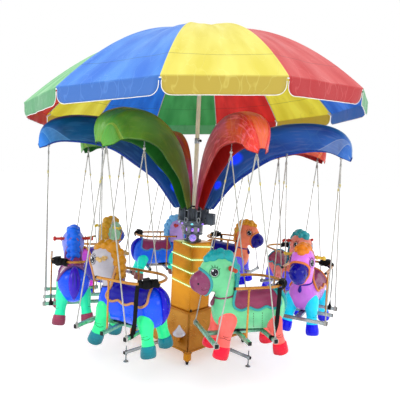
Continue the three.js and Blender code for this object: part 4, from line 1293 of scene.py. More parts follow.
# %% Ribs and stays
ribs = Kit(umbrella_white, steel, black_plastic)
for k in range(12):
    angle = FIRST_RIB + k * RIB_STEP + 1e-6
    line = [dome(0.02 + 0.96 * s / 22, angle, 0.0072) for s in range(23)]
    sections = []
    for n, point in enumerate(line):
        out = Vector((cos(angle), sin(angle), 0))
        side = Vector((-out.y, out.x, 0))
        thick = Vector((0, 0, 1))
        sections.append([point + side * a * 0.004 + thick * b * 0.0042 for a,
                         b in ((-1, -1), (1, -1), (1, 0.8), (0.6, 1), (-0.6, 1), (-1, 0.8))])
    ribs.add(loft(sections), umbrella_white)
    low = Vector((0.030 * cos(angle), 0.030 * sin(angle), 0))
    low.z = 2.440 + tilted(low.x, low.y)
    high = dome(0.760 / 1.5, angle, 0.018)
    ribs.add(sweep([low, low.lerp(high, 0.5), high], 0.0048, 8), umbrella_white)
    ribs.add(block((0.030, 0.014, 0.016), (0, 0, 0), 0.003), steel,
             Matrix.Translation(high) @ Matrix.Rotation(angle, 4, "Z") @ Matrix.Rotation(radians(18), 4, "Y"))
crown_top = FOLD + RISE - 0.006
ribs.add(turned([(0.0206, crown_top - 0.066), (0.040, crown_top - 0.066), (0.046, crown_top - 0.060),
                 (0.046, crown_top - 0.020), (0.038, crown_top - 0.012), (0.034, crown_top - 0.008),
                 (0.0206, crown_top - 0.008), (0.0206, crown_top - 0.066)], 32), black_plastic)
ribs.add(turned([(0.0206, 2.415), (0.030, 2.415), (0.030, 2.430), (0.036, 2.432), (0.036, 2.448), (0.030, 2.450),
                 (0.030, 2.465), (0.0206, 2.465), (0.0206, 2.415)], 32), black_plastic)
put_on(ribs.piece("umbrella_ribs"), "rotor", "umbrella_steel", "umbrella_frame")

# %% [markdown]
# ## Rope slings
# Each seat hangs on two slings, one at its inner end and one at its outer end. A sling is a V of braided nylon rope
# from a knob under the arm down to the front and rear bars. The rope's UVs run round it and along it, so two crossed
# waves on them give the little diamonds of a braid. Ropes that carry a load are straight, so each leg is one sweep.


# %% Rope and webbing finishes
sling_rope = new_finish("sling_rope", 0.7, sheen=0.3)
where = coordinates("UVMap")
strands = []
for lean in (0.62, -0.62):
    turned_uv = node("Mapping", Vector=where, Rotation=(0, 0, lean)).outputs["Vector"]
    strands.append(node("TexWave", {"bands_direction": "Y"}, Vector=turned_uv, Scale=75.0).outputs["Fac"])
braid = calc("MAXIMUM", strands[0], strands[1])
fuzz = cloud(coordinates(), 26.0, 4.0)
tone = mix(remap(fuzz, 0.35, 0.65), rgb(204, 204, 198), rgb(170, 170, 164))
# Painted shade: the grooves between the braid's strands are darkened.
feed("Base Color", mix(remap(braid, 0.75, 0.2), tone, rgb(120, 122, 120)))
feed("Roughness", remap(fuzz, 0.3, 0.7, 0.6, 0.85))
bump(braid, 0.8, 0.0009)

rope_yellowed = worn("rope_yellowed", rgb(206, 196, 132), rgb(176, 162, 96), 0.75, 0.1, cloud_scale=60.0, grain=700.0)

black_webbing = new_finish("black_webbing", 0.7, gloss=0.15)
where = coordinates("UVMap")
ribbing = node("TexWave", {"bands_direction": "Y"}, Vector=where, Scale=170.0).outputs["Fac"]
checks = node("TexChecker", Vector=where, Scale=700.0).outputs["Fac"]
dusty = remap(cloud(coordinates(), 24.0, 4.0), 0.4, 0.7)
feed("Base Color", mix(dusty, rgb(12, 12, 14), rgb(26, 26, 29)))
feed("Roughness", remap(dusty, 0.0, 1.0, 0.6, 0.8))
bump(plus(ribbing, times(checks, 0.4)), 0.5, 0.0006)
print("Rope braid and webbing done")

# %% Slings
OUT = 1.081                            # metres from the pole to the middle of a seat
HOOK_HIGH = 1.780
FOOT = 0.5168
SLING_HALF, BAR_END = 0.222, 0.216     # from the seat's middle to a sling, and to the front and rear bars
BAR_HIGH = 0.495


def sling(side):
    """side is -1 for the inner V and 1 for the outer one."""
    kit = Kit(sling_rope, white_knob, rope_yellowed)
    y = OUT + side * SLING_HALF
    knob = [(0, -0.012), (0.005, -0.0115), (0.0095, -0.008), (0.0118, -0.002), (0.0112, 0.004), (0.0075, 0.0088),
            (0.0042, 0.0105), (0.0042, 0.0118), (0, 0.012)]
    kit.add(turned(knob, 24), white_knob, Matrix.Translation((0, y, HOOK_HIGH)))
    for x in (BAR_END, -BAR_END):
        top = Vector((0, y, HOOK_HIGH - 0.004))
        low = Vector((x, y, FOOT))
        line = [low.lerp(top, t / 14) for t in range(15)]
        kit.add(sweep(line, 0.0047, 8), sling_rope)
        down = (low - top).normalized()
        for n in range(5):
            spot = top - down * -(0.040 + 0.0052 * n)
            ring = [spot + Vector((0.0056 * cos(a), 0.0056 * sin(a), 0.0014 * sin(a)))
                    for a in (2 * pi * j / 10 for j in range(11))]
            kit.add(sweep(ring, 0.0022, 5), sling_rope)
        wrap = top + down * (0.215 + 0.035 * (1 if x * side > 0 else 0))
        kit.add(sweep([wrap - down * 0.012, wrap - down * 0.009, wrap, wrap + down * 0.009, wrap + down * 0.012],
                      [0.0048, 0.0064, 0.0070, 0.0064, 0.0048], 8), rope_yellowed)
        knot = [(0.0058 * cos(a), 0.0048 * sin(2 * a) * 0.8, 0.0058 * sin(a))
                for a in (2 * pi * j / 18 for j in range(19))]
        kit.add(sweep([low + Vector(p) + Vector((0, 0, 0.0008)) for p in knot], 0.0029, 6), sling_rope)
        kit.add(lump((x, y, FOOT + 0.0006), (0.0062, 0.0058, 0.0070), 0, 2), sling_rope)
    return kit.piece("sling_master")


for side, label in ((-1, "inner"), (1, "outer")):
    master = sling(side)
    for i in ARMS:
        put_on(copy_at(master, f"{label}_sling_rope_{i}", seat_place(i)), f"{label}_sling_{i}", "sling_rope",
               f"{label}_ropes_{i}")
    bpy.data.objects.remove(master, do_unlink=True)

# %% [markdown]
# ## Seat frames
# Under each pony three square tubes lie across a flat keel. Two thin posts carry a gold guard rail that runs round
# behind the rider and ends in black plugs beside the pony's neck. The rope is wound round the ends of the bars. A
# bundle of black safety webbing hangs over the rail's rear, and one strap of it runs down to the rear bar.


# %% Webbing by ribbons
def ribbon(points, faces_to, width, thickness=0.0022):
    """A flat strap along a line. faces_to gives, for each point, the way its flat side looks."""
    points = smooth_line(points, 5)
    looks = smooth_line(faces_to, 5)
    sections = []
    for k, point in enumerate(points):
        along = (points[min(k + 1, len(points) - 1)] - points[max(k - 1, 0)]).normalized()
        look = (looks[k] - along * looks[k].dot(along)).normalized()
        side = along.cross(look)
        w, t = width / 2, thickness / 2
        sections.append([point + side * a * w + look * b * t for a,
                         b in ((-1, -0.5), (-0.94, -1), (0, -1), (0.94, -1), (1, -0.5), (1, 0.5), (0.94, 1), (0, 1),
                               (-0.94, 1), (-1, 0.5))])
    return loft(sections)


RAIL_HIGH, RAIL_HALF, RAIL_FRONT, RAIL_REAR = 0.858, 0.178, 0.085, -0.345


def rail_line(steps=26):
    turn_x = RAIL_REAR + RAIL_HALF
    line = [Vector((RAIL_FRONT, OUT + RAIL_HALF, RAIL_HIGH)), Vector((0.0, OUT + RAIL_HALF, RAIL_HIGH)),
            Vector((-0.09, OUT + RAIL_HALF, RAIL_HIGH))]
    line += [Vector((turn_x - RAIL_HALF * sin(a), OUT + RAIL_HALF * cos(a), RAIL_HIGH))
             for a in (pi * k / steps for k in range(steps + 1))]
    line += [Vector((-0.09, OUT - RAIL_HALF, RAIL_HIGH)), Vector((0.0, OUT - RAIL_HALF, RAIL_HIGH)),
             Vector((RAIL_FRONT, OUT - RAIL_HALF, RAIL_HIGH))]
    return line


print("The rail is", round(sum((b - a).length for a, b in zip(rail_line(), rail_line()[1:])), 2), "metres of tube")

# %% Seat frame
seat = Kit(seat_chrome, rail_gold, black_plastic, steel, black_webbing, sling_rope)
POST_X = -0.020
BARS = (BAR_END, POST_X, -BAR_END)
for x in BARS:
    seat.add(block((0.025, 0.472, 0.025), (x, OUT, BAR_HIGH), 0.0028, 3), seat_chrome)
    for side in (-1, 1):
        seat.add(block((0.0262, 0.005, 0.0262), (x, OUT + side * 0.2358, BAR_HIGH), 0.0018), black_plastic)
seat.add(block((0.455, 0.044, 0.0208), (0, OUT, BAR_HIGH), 0.0025), seat_chrome)
for x in (0.190, -0.046, 0.006, -0.190):
    seat.add(turned([(0, 0.0), (0.006, 0.0), (0.006, 0.003), (0.005, 0.0042), (0, 0.0042)], 6), steel,
             Matrix.Translation((x, OUT, 0.5052)))
seat.add(sweep(rail_line(), 0.0100, 14), rail_gold)
for side in (-1, 1):
    plug = turned([(0, 0), (0.0108, 0), (0.0112, 0.003), (0.0108, 0.010), (0.007, 0.013), (0, 0.0135)], 18, "X")
    seat.add(plug, black_plastic, Matrix.Translation((RAIL_FRONT - 0.004, OUT + side * RAIL_HALF, RAIL_HIGH)))
    y = OUT + side * RAIL_HALF
    seat.add(disc_rod(0.0068, 0.506, RAIL_HIGH - 0.004, (POST_X, y), 14), rail_gold)
    seat.add(disc_rod(0.0105, 0.5075, 0.5155, (POST_X, y), 18), steel)
    seat.add(disc_rod(0.0095, RAIL_HIGH - 0.022, RAIL_HIGH - 0.008, (POST_X, y), 18), rail_gold)
    for x in (BAR_END, -BAR_END):
        for n in range(4):
            yy = OUT + side * (SLING_HALF + 0.0048 * (n - 1.5))
            q = 0.0148
            wrap = [(x + q * sx, yy + 0.0012 * t, BAR_HIGH + q * sz) for t,
                    (sx, sz) in enumerate(((-0.7, 1), (0.7, 1), (1, 0.7), (1, -0.7), (0.7, -1), (-0.7, -1),
                                           (-1, -0.7), (-1, 0.7), (-0.7, 1)))]
            seat.add(sweep(wrap, 0.0024, 6), sling_rope)
        tail = [(x - 0.013, OUT + side * 0.214, 0.486), (x - 0.016, OUT + side * 0.212, 0.478),
                (x - 0.0155, OUT + side * 0.211, 0.470)]
        seat.add(sweep(tail, [0.0028, 0.0028, 0.0034], 6), sling_rope)
print("Bars, rail, posts and rope wraps are in the kit")

# %% [markdown]
# The bundle is one long strap folded up and tied to the rail. Wavy ribbons that follow the tube outside, above and
# inside it are the folded part. Short ribbons that go over the tube from inside to outside are the ties. The buckle
# is a plastic box on top.

# %% Webbing bundle
def on_rail(angle, outward, up):
    """A point beside the rail's bend. The angle is 0 at the side and 90 at the very rear."""
    a = radians(angle)
    r = RAIL_HALF + outward
    return Vector((RAIL_REAR + RAIL_HALF - r * sin(a), OUT + r * cos(a), RAIL_HIGH + up))


UP = Vector((0, 0, 1))
FOLDED = ((0.019, -0.012, 30, 74, 0.006, 0.036), (0.023, 0.004, 36, 70, -0.007, 0.034),
          (-0.017, 0.000, 38, 76, 0.006, 0.034), (0.006, 0.016, 28, 72, 0.005, 0.036),
          (-0.004, 0.022, 34, 66, -0.004, 0.032), (0.012, 0.027, 40, 60, 0.003, 0.030))
for outward, up, first, last, wave, width in FOLDED:
    angles = [first + (last - first) * t / 6 for t in range(7)]
    path = [on_rail(a, outward + 0.5 * wave * cos(t * 1.9), up + wave * sin(t * 1.7 + 1.0)) for t,
            a in enumerate(angles)]
    out = [on_rail(a, 1.0, 0.0) - on_rail(a, 0.0, 0.0) for a in angles]
    lean = up / 0.016
    seat.add(ribbon(path, [o * (1 if outward > 0 else -1) * max(0.15, 1 - lean) + UP * lean for o in out], width),
             black_webbing)
for n, angle in enumerate((33, 41, 50, 58, 67)):
    r = 0.027 + 0.0025 * (n % 2)
    out = on_rail(angle, 1.0, 0.0) - on_rail(angle, 0.0, 0.0)
    turns = [radians(-48 + 276 * t / 8) for t in range(9)]
    path = [on_rail(angle + 1.2 * (t - 4) / 4, 0.002 + r * cos(w), 0.003 + 0.95 * r * sin(w)) for t,
            w in enumerate(turns)]
    seat.add(ribbon(path, [out * cos(w) + UP * sin(w) for w in turns], 0.017), black_webbing)
seat.add(block((0.046, 0.034, 0.014), (0, 0, 0), 0.004, 3), black_plastic,
         Matrix.Translation((-0.297, OUT + 0.130, 0.893)) @ Matrix.Rotation(radians(48), 4, "Z")
         @ Matrix.Rotation(radians(8), 4, "Y"))
strap_down = [Vector((-0.2560, OUT + 0.168, 0.850)), Vector((-0.2540, OUT + 0.174, 0.800)),
              Vector((-0.2500, OUT + 0.175, 0.700)), Vector((-0.2460, OUT + 0.174, 0.600)),
              Vector((-0.2360, OUT + 0.174, 0.530)), Vector((-0.2305, OUT + 0.174, 0.5060))]
strap_look = [Vector((0, 1, 0))] * 4 + [Vector((-0.5, 0.8, 0)), Vector((-1, 0.2, 0))]
seat.add(ribbon(strap_down, strap_look, 0.033), black_webbing)
loop_x, loop_y = -BAR_END, OUT + 0.173
loop = [Vector((loop_x + sx * 0.0142, loop_y, BAR_HIGH + sz * 0.0142)) for sx, sz in
        ((-0.6, 1), (0.6, 1), (1, 0.6), (1, -0.6), (0.6, -1), (-0.6, -1), (-1, -0.6), (-1, 0.6), (-0.6, 1))]
loop_look = [Vector((sx, 0, sz)) for sx, sz in
             ((-0.2, 1), (0.2, 1), (1, 0.2), (1, -0.2), (0.2, -1), (-0.2, -1), (-1, -0.2), (-1, 0.2), (-0.2, 1))]
seat.add(ribbon(loop, loop_look, 0.033), black_webbing)
seat_master = seat.piece("seat_master")
for i in ARMS:
    # Painted reflection: the seats beside the green ponies get the chrome with the green tint painted in.
    bars = chrome_painted_green_reflection if i in (1, 2, 8) else seat_chrome
    frame_of_seat = copy_at(seat_master, f"seat_frame_tubes_{i}", seat_place(i), [bars] + seat.materials[1:])
    put_on(frame_of_seat, f"seat_{i}", "seat_frame_steel", f"seat_frame_{i}")
bpy.data.objects.remove(seat_master, do_unlink=True)

# %% [markdown]
# ## Ponies
# The ponies are blown plastic shells under glossy lacquer, with LEDs inside that make the legs glow. One pony is
# modelled with care and then painted eight times. The body, neck, head and muzzle are soft shapes that flow into each
# other. The easy way to get such a skin is to overlap simple eggs and turned shapes, and let a voxel remesh melt them
# into one.


# %% Melting shapes together
def melted(parts, voxel, rounds):
    """Fuses overlapping closed shapes into one smooth skin."""
    bm = bmesh.new()
    for part in parts:
        join(bm, as_mesh("part", part))
    obj = as_object("melting", as_mesh("melting", bm))
    remesh = obj.modifiers.new("remesh", "REMESH")
    remesh.mode = "VOXEL"
    remesh.voxel_size = voxel
    relax = obj.modifiers.new("relax", "SMOOTH")
    relax.factor = 0.6
    relax.iterations = rounds
    return applied(obj)


# The pony's own frame has X forward and Z up from the floor, and the middle of its back lies near 0.
TRUNK_HIGH = 0.652                     # the middle line of the trunk
trunk_profile = smooth_line([(0.0001, 0, -0.352), (0.072, 0, -0.340), (0.126, 0, -0.286), (0.143, 0, -0.200),
                             (0.139, 0, -0.090), (0.134, 0, 0.020), (0.133, 0, 0.095), (0.100, 0, 0.160),
                             (0.050, 0, 0.192), (0.0001, 0, 0.200)], 4)
trunk = turned([(0, -0.352)] + [(max(p.x, 0.001), p.z) for p in trunk_profile[1:-1]] + [(0, 0.200)], 36, "X")
bmesh.ops.scale(trunk, vec=(1, 0.86, 1), verts=trunk.verts)
bmesh.ops.translate(trunk, vec=(0, 0, TRUNK_HIGH), verts=trunk.verts)
rump = lump((-0.246, 0, 0.678), (0.104, 0.128, 0.118))
chest = lump((0.112, 0, 0.662), (0.092, 0.112, 0.112))
neck_line = smooth_line([(0.086, 0, 0.630), (0.104, 0, 0.715), (0.112, 0, 0.780), (0.130, 0, 0.880)], 4)
pony_neck = sweep(neck_line, [0.112 - 0.040 * min(1.0, k / 8) + 0.004 * max(0, k - 8) for k in range(len(neck_line))],
                  24, up=(0, 1, 0))
skull = lump((0.178, 0, 0.938), (0.134, 0.100, 0.118), 0.20)
cheek = lump((0.196, 0, 0.878), (0.092, 0.088, 0.084), 0.3)
nose = lump((0.296, 0, 0.868), (0.083, 0.072, 0.077), 0.55)
chin = lump((0.268, 0, 0.820), (0.060, 0.058, 0.046), 0.5)
skin = melted([trunk, rump, chest, pony_neck, skull, cheek, nose, chin], 0.0078, 9)
skin_tree = BVHTree.FromBMesh(skin)
print("The skin has", len(skin.faces), "faces")

# %% [markdown]
# Where two colours meet, the toy has a raised band: a collar round the neck and a bridle round the muzzle. The line
# of each band is found on the skin itself. A number is worked out for every vertex, such as its height above a plane,
# and wherever it changes sign along an edge, the band crosses that edge.


# %% Lines on the skin
def contour(bm, field):
    """The longest closed line on the surface along which field(point) is zero."""
    crossing, partners = {}, {}
    for edge in bm.edges:
        a, b = edge.verts[0].co, edge.verts[1].co
        fa, fb = field(a), field(b)
        if (fa > 0) != (fb > 0):
            crossing[edge] = a.lerp(b, fa / (fa - fb))
    for face in bm.faces:
        cut = [edge for edge in face.edges if edge in crossing]
        if len(cut) == 2:
            partners.setdefault(cut[0], []).append(cut[1])
            partners.setdefault(cut[1], []).append(cut[0])
    best = []
    left = set(partners)
    while left:
        start = min(left, key=lambda e: e.index)
        walk, here = [start], start
        left.discard(start)
        while True:
            following = [e for e in partners[here] if e in left]
            if not following:
                break
            here = following[0]
            left.discard(here)
            walk.append(here)
        if len(walk) > len(best):
            best = walk
    return [crossing[edge] for edge in best]


def evened(points, count):
    """The same closed line with its points evenly spaced and its jitter smoothed out."""
    points = points + [points[0]]
    lengths = [0.0]
    for a, b in zip(points, points[1:]):
        lengths.append(lengths[-1] + (b - a).length)
    even = []
    k = 0
    for n in range(count):
        target = lengths[-1] * n / count
        while lengths[k + 1] < target:
            k += 1
        even.append(points[k].lerp(points[k + 1], (target - lengths[k]) / max(1e-9, lengths[k + 1] - lengths[k])))
    for _ in range(3):
        even = [(even[k - 1] + even[k] * 2 + even[(k + 1) % count]) / 4 for k in range(count)]
    return even


COLLAR_AT, COLLAR_UP = Vector((0.112, 0, 0.768)), Vector((0.22, 0, 1)).normalized()
MUZZLE_AT, MUZZLE_REACH = Vector((0.352, 0, 0.848)), 0.112
skin.edges.index_update()


def above_collar(point):
    return (point - COLLAR_AT).dot(COLLAR_UP)


def round_muzzle(point):
    return MUZZLE_REACH - hypot(point.x - MUZZLE_AT.x, (point.z - MUZZLE_AT.z) * 0.94)


collar_line = evened(contour(skin, above_collar), 48)
bridle_line = evened(contour(skin, round_muzzle), 56)
print("Collar and bridle lines:", len(collar_line), len(bridle_line), "points")

# %% [markdown]
# The painted parts of the pony have names, and each name gets a colour in each pony's palette. In the mesh a part is
# a material index. Later the index picks the colour, and the colour is stored on the mesh as an attribute.

# %% Skin, collar and bridle
EYE_X, EYE_Z = 0.232, 0.950
HOOF_LOW = 0.352                       # height of the soles, which hang below the seat's bars
PARTS = ["body", "head", "muzzle", "bridle", "leg", "hoof", "mane", "tail", "saddle", "border", "peg", "collar",
         "pale", "dark", "crease"]
pony = Kit(*PARTS)


def closed(points):
    return points + points[:2]


def tube_round(points, radius, sides, out):
    """A closed band on the skin. It is pushed out from the middle of its line a little."""
    middle = sum(points, Vector()) / len(points)
    pushed = [p + (p - middle).normalized() * out for p in points]
    return sweep(closed(pushed), radius, sides)


skin.faces.ensure_lookup_table()
for face in skin.faces:
    face.smooth = True
    middle = face.calc_center_median()
    if above_collar(middle) < 0:
        face.material_index = PARTS.index("body")
    elif round_muzzle(middle) > 0 and middle.x > 0.2:
        face.material_index = PARTS.index("muzzle")
    else:
        face.material_index = PARTS.index("head")
mesh = bpy.data.meshes.new("skin")
skin.to_mesh(mesh)
pony.bm.from_mesh(mesh)
bpy.data.meshes.remove(mesh)
pony.add(tube_round(collar_line, 0.0062, 8, 0.001), "collar")
pony.add(tube_round(bridle_line, 0.0100, 10, 0.0005), "bridle")
front = max(collar_line, key=lambda p: p.x)
pony.add(turned([(0, 0.012), (0.005, 0.010), (0.0075, 0.004), (0.008, -0.004), (0.0135, -0.022), (0.0155, -0.034),
                 (0.013, -0.046), (0.0065, -0.054), (0, -0.057)], 20), "collar",
         Matrix.Translation(front + Vector((0.011, 0, -0.006))) @ Matrix.Rotation(radians(-14), 4, "Y"))
print("Collar's front at", [round(c, 3) for c in front])

# %% [markdown]
# A leg is a row of circles from hoof to shoulder: wide and round at the top, like a drop, narrow at the fetlock, and
# wider again at the hoof. The hoof is a loft of its own in another colour. Thin dark lines at the knee are painted
# shade in its folds.


# %% Legs
def leg(top, foot, girth=1.0):
    top, foot = Vector(top), Vector(foot)
    axis = top - foot
    lean = Vector((0, 0, 1)).rotation_difference(axis).to_matrix()
    fore = Vector((lean @ Vector((1, 0, 0)))).normalized()
    across = axis.normalized().cross(fore)

    def ring(share, radius, shift=0.0, flat=0.92, sides=22):
        middle = foot + axis * share + fore * shift
        return [middle + fore * radius * cos(2 * pi * k / sides) + across * radius * flat * sin(2 * pi * k / sides)
                for k in range(sides)]

    shape = [(0.27, 0.040), (0.285, 0.0455), (0.31, 0.0490), (0.36, 0.0485), (0.45, 0.0455), (0.55, 0.0460),
             (0.64, 0.0500), (0.73, 0.0560), (0.82, 0.0625), (0.90, 0.0665), (0.97, 0.0675), (1.04, 0.0640),
             (1.10, 0.0560), (1.15, 0.0430), (1.18, 0.0270), (1.192, 0.0100)]
    pony.add(loft([ring(s, r * girth) for s, r in shape]), "leg")
    hoof = [(0.0, 0.034, 0.002), (0.004, 0.0445, 0.003), (0.018, 0.0515, 0.005), (0.05, 0.0558, 0.006),
            (0.11, 0.0572, 0.005), (0.18, 0.0560, 0.003), (0.25, 0.0535, 0.001), (0.29, 0.0522, 0.0),
            (0.305, 0.0500, 0.0), (0.312, 0.0455, 0.0)]
    sections = [ring(s, r, f) for s, r, f in hoof]
    for section in sections[:3]:
        for point in section:
            point.z = max(point.z, 0.3525)
    pony.add(loft(sections), "hoof")
    side = 1 if top.y > 0 else -1
    # Painted shade: two thin dark lines lie in the folds at the knee.
    for height, wave, spread in ((0.50, 0.016, 1.15), (0.56, -0.010, 0.7)):
        line = []
        for k in range(15):
            a = (k / 14 - 0.5) * 2 * spread
            share = height + wave * sin(a * 3.4) + 0.012 * a * a
            radius = 0.0462 * girth
            line.append(foot + axis * share + fore * radius * sin(a) + across * radius * 0.925 * cos(a) * side)
        pony.add(sweep(line, [0.0006] + [0.0014] * 13 + [0.0006], 5), "crease")


for side in (-1, 1):
    leg((0.108, side * 0.074, 0.625), (0.168, side * 0.116, HOOF_LOW))
    leg((-0.238, side * 0.080, 0.598), (-0.306, side * 0.116, HOOF_LOW), 0.93)
pad = block((0.116, 0.086, 0.062), (0.010, 0, 0.5390), 0.006, 3)
pony.add(pad, "dark")
print("Four legs and hooves, and a rubber pad under the belly")

# %% [markdown]
# The saddle lies on the back like a thick cloth, and its lower edge has three lobes. To make it fit, a grid is laid
# out in angles round the trunk, and a ray is shot from the trunk's middle line through each grid point. Where the ray
# leaves the skin, the saddle lies a few millimetres higher. The puffed border is a tube along the same outline.


# %% Saddle
def on_skin(x, angle, lift):
    """The point over the skin at an angle round the trunk, where 0 is straight up."""
    start = Vector((x, 0, TRUNK_HIGH))
    way = Vector((0, sin(angle), cos(angle)))
    point, normal = skin_tree.ray_cast(start, way)[:2]
    if normal.dot(way) < 0:
        normal = -normal
    return point + normal * lift, normal


def saddle_edge(t):
    """How far down the saddle reaches, as an angle, at share t from front to rear."""
    lobes = abs(sin(3 * pi * (t * 0.94 + 0.03)))
    return radians(61 + 15 * lobes ** 0.8) * (1 - 0.10 * (2 * t - 1) ** 4)


SADDLE_FRONT, SADDLE_REAR = 0.074, -0.258


def saddle_point(u, t, lift=0.0):
    swell = 0.012 * max(0, 1 - t * 5) + 0.016 * max(0, t * 4 - 3)
    x = SADDLE_FRONT + (SADDLE_REAR - SADDLE_FRONT) * t + 0.016 * (2 * abs(u) - 1) * (1 - 2 * t)
    arch = max(0, 1 - abs(u) * 1.4)
    return on_skin(x, u * saddle_edge(t), 0.0045 + lift + swell * arch)[0]


top_sheet = bmesh.new()
bmesh.ops.create_grid(top_sheet, x_segments=32, y_segments=22, size=0.5)
for vert in top_sheet.verts:
    u, t = vert.co.x * 2, vert.co.y + 0.5
    vert.co = saddle_point(u, t)
bmesh.ops.recalc_face_normals(top_sheet, faces=top_sheet.faces)
if sum(face.normal.z for face in top_sheet.faces) < 0:
    bmesh.ops.reverse_faces(top_sheet, faces=top_sheet.faces)
bmesh.ops.solidify(top_sheet, geom=top_sheet.faces[:], thickness=0.0035)
bmesh.ops.recalc_face_normals(top_sheet, faces=top_sheet.faces)
pony.add(top_sheet, "saddle")
outline = [(-1 + 2 * k / 26, 0.0) for k in range(27)] + [(1.0, k / 40) for k in range(1, 41)]
outline += [(1 - 2 * k / 26, 1.0) for k in range(1, 27)] + [(-1.0, 1 - k / 40) for k in range(1, 40)]
border_line = evened([saddle_point(u, t, 0.0025) for u, t in outline], 130)
pony.add(sweep(closed(border_line), 0.0092, 8), "border")
for x in (-0.062, -0.128):
    for side in (-1, 1):
        for k in range(7):
            a0, a1 = radians(84 + 9.0 * k), radians(84 + 9.0 * k + 5.2)
            bend = -0.004 * k * k / 6
            dash = [on_skin(x + bend, side * (a0 + (a1 - a0) * j / 2), 0.0004)[0] for j in range(3)]
            pony.add(sweep(dash, 0.0017, 5), "crease")
print("Saddle edge from", round(saddle_point(1, 0.17).z, 3), "to", round(saddle_point(1, 0.34).z, 3), "metres high")

# %% [markdown]
# Mane and tail are moulded curls. The mane is a chain of eggs of changing size that are melted together, which leaves
# the soft waves between the curls. The tail is a loft that starts thin on the rump, swells and ends in a point.

# %% Mane and tail
CURLS = [(0.256, 1.026, 0.034), (0.214, 1.054, 0.041), (0.160, 1.064, 0.040), (0.106, 1.050, 0.043),
         (0.068, 1.008, 0.039), (0.046, 0.958, 0.041), (0.038, 0.904, 0.036), (0.040, 0.852, 0.034),
         (0.050, 0.808, 0.026)]
curls = []
for k, (x, z, size) in enumerate(CURLS):
    curls.append(lump((x, 0.008 * sin(k * 2.5 + 0.6), z), (size, size * 1.05, size * 0.95), 0, 2))
    if 0 < k < len(CURLS) - 1:
        for side in (-1, 1):
            curls.append(lump((x + 0.010, side * 0.042, z - 0.014), (size * 0.74, 0.020, size * 0.78), 0, 2))
pony.add(melted(curls, 0.0065, 3), "mane")
tail_line = smooth_line([(-0.236, 0, 0.806), (-0.292, 0, 0.800), (-0.335, 0, 0.758), (-0.352, 0, 0.700),
                         (-0.350, 0, 0.636), (-0.336, 0, 0.584), (-0.322, 0, 0.552)], 4)
girths = smooth_line([(0.006, 0, 0), (0.014, 0, 0), (0.020, 0, 0), (0.024, 0, 0), (0.021, 0, 0), (0.013, 0, 0),
                      (0.002, 0, 0)], 4)
widths = smooth_line([(1.5, 0, 0), (1.7, 0, 0), (1.9, 0, 0), (1.9, 0, 0), (1.8, 0, 0), (1.5, 0, 0), (1.2, 0, 0)], 4)
pony.add(sweep(tail_line, [max(0.0018, g.x) for g in girths], 16, [w.x for w in widths], up=(1, 0, 0.3)), "tail")
# Painted shade: dark lines lie in the tail's two grooves.
for shift in (-0.012, 0.012):
    groove = [p + Vector((-0.6, 0, 0.2)).normalized() * (girths[k].x * 0.96)
              + Vector((0, shift * min(1, girths[k].x / 0.02), 0)) for k, p in enumerate(tail_line)][3:-3]
    pony.add(sweep(groove, 0.0018, 5), "crease")
print("Mane of", len(curls), "curls")

# %% [markdown]
# The face is a toy's: a big round eye with rings and four lashes, a nostril, and a thin smile. An eye is turned from
# one profile of rings, bent to the curve of the cheek. Its place is found by a ray from the side, so that it lies on
# the skin.


# %% Face
def on_side(x, z, side, lift):
    point, normal = skin_tree.ray_cast(Vector((x, side * 0.4, z)), Vector((0, -side, 0)))[:2]
    if normal.y * side < 0:
        normal = -normal
    return point + normal * lift, normal


def rings_of_eye(radius_in, radius_out, part, place, lift):
    count = 5
    profile = []
    for k in range(count + 1):
        r = radius_in + (radius_out - radius_in) * k / count
        profile.append((r, lift - r * r / 0.22))
    if radius_in > 0:
        profile = [(radius_in, profile[0][1] - 0.004)] + profile
    profile.append((radius_out, profile[-1][1] - 0.004))
    if radius_in > 0:
        profile.append(profile[0])
    else:
        profile.append((0, profile[-1][1]))
    pony.add(turned(profile, 32), part, place)


for side in (-1, 1):
    spot, normal = on_side(EYE_X, EYE_Z, side, 0.0)
    place = Matrix.Translation(spot) @ normal.to_track_quat("Z", "Y").to_matrix().to_4x4()
    rings_of_eye(0.0338, 0.0360, "dark", place, 0.0040)
    rings_of_eye(0.0, 0.0340, "head", place, 0.0032)
    rings_of_eye(0.0264, 0.0284, "dark", place, 0.0046)
    rings_of_eye(0.0, 0.0266, "pale", place, 0.0042)
    rings_of_eye(0.0, 0.0244, "dark", place, 0.0052)
    for dx, dz, r in ((0.009, 0.011, 0.0072), (-0.008, -0.009, 0.0040)):
        glint = on_side(EYE_X + dx, EYE_Z + dz, side, 0.0052)[0]
        pony.add(lump(glint, (r, 0.0020, r), 0, 2), "pale")
    for k in range(4):
        a = radians(72 + 24 * k)
        lash = [on_side(EYE_X + r * cos(a), EYE_Z + r * sin(a), side, 0.0008)[0] for r in (0.0360, 0.0430, 0.0490)]
        pony.add(sweep(lash, [0.0024, 0.0019, 0.0009], 5), "dark")
    nostril = on_side(0.334, 0.868, side, -0.001)[0]
    pony.add(lump(nostril, (0.0085, 0.004, 0.0075), 0, 2), "dark")
    smile = [on_side(0.312 - 0.012 * k, 0.822 + 0.0016 * (k - 2) ** 2, side, 0.0004)[0] for k in range(5)]
    pony.add(sweep(smile, 0.0012, 5), "crease")
    for dx, dz in ((0, 0), (0.012, 0.004), (0.005, -0.010)):
        freckle = on_side(0.300 + dx, 0.838 + dz, side, 0.0)[0]
        pony.add(lump(freckle, (0.0022, 0.0014, 0.0022), 0, 1), "crease")
print("Eye at", [round(c, 3) for c in spot])

# %% [markdown]
# The grips are bone-shaped pegs that stick out from both sides of the head. A turned bar with a collar is the shaft,
# and two balls side by side make the bone's end. Mirroring the left side gives the right one.

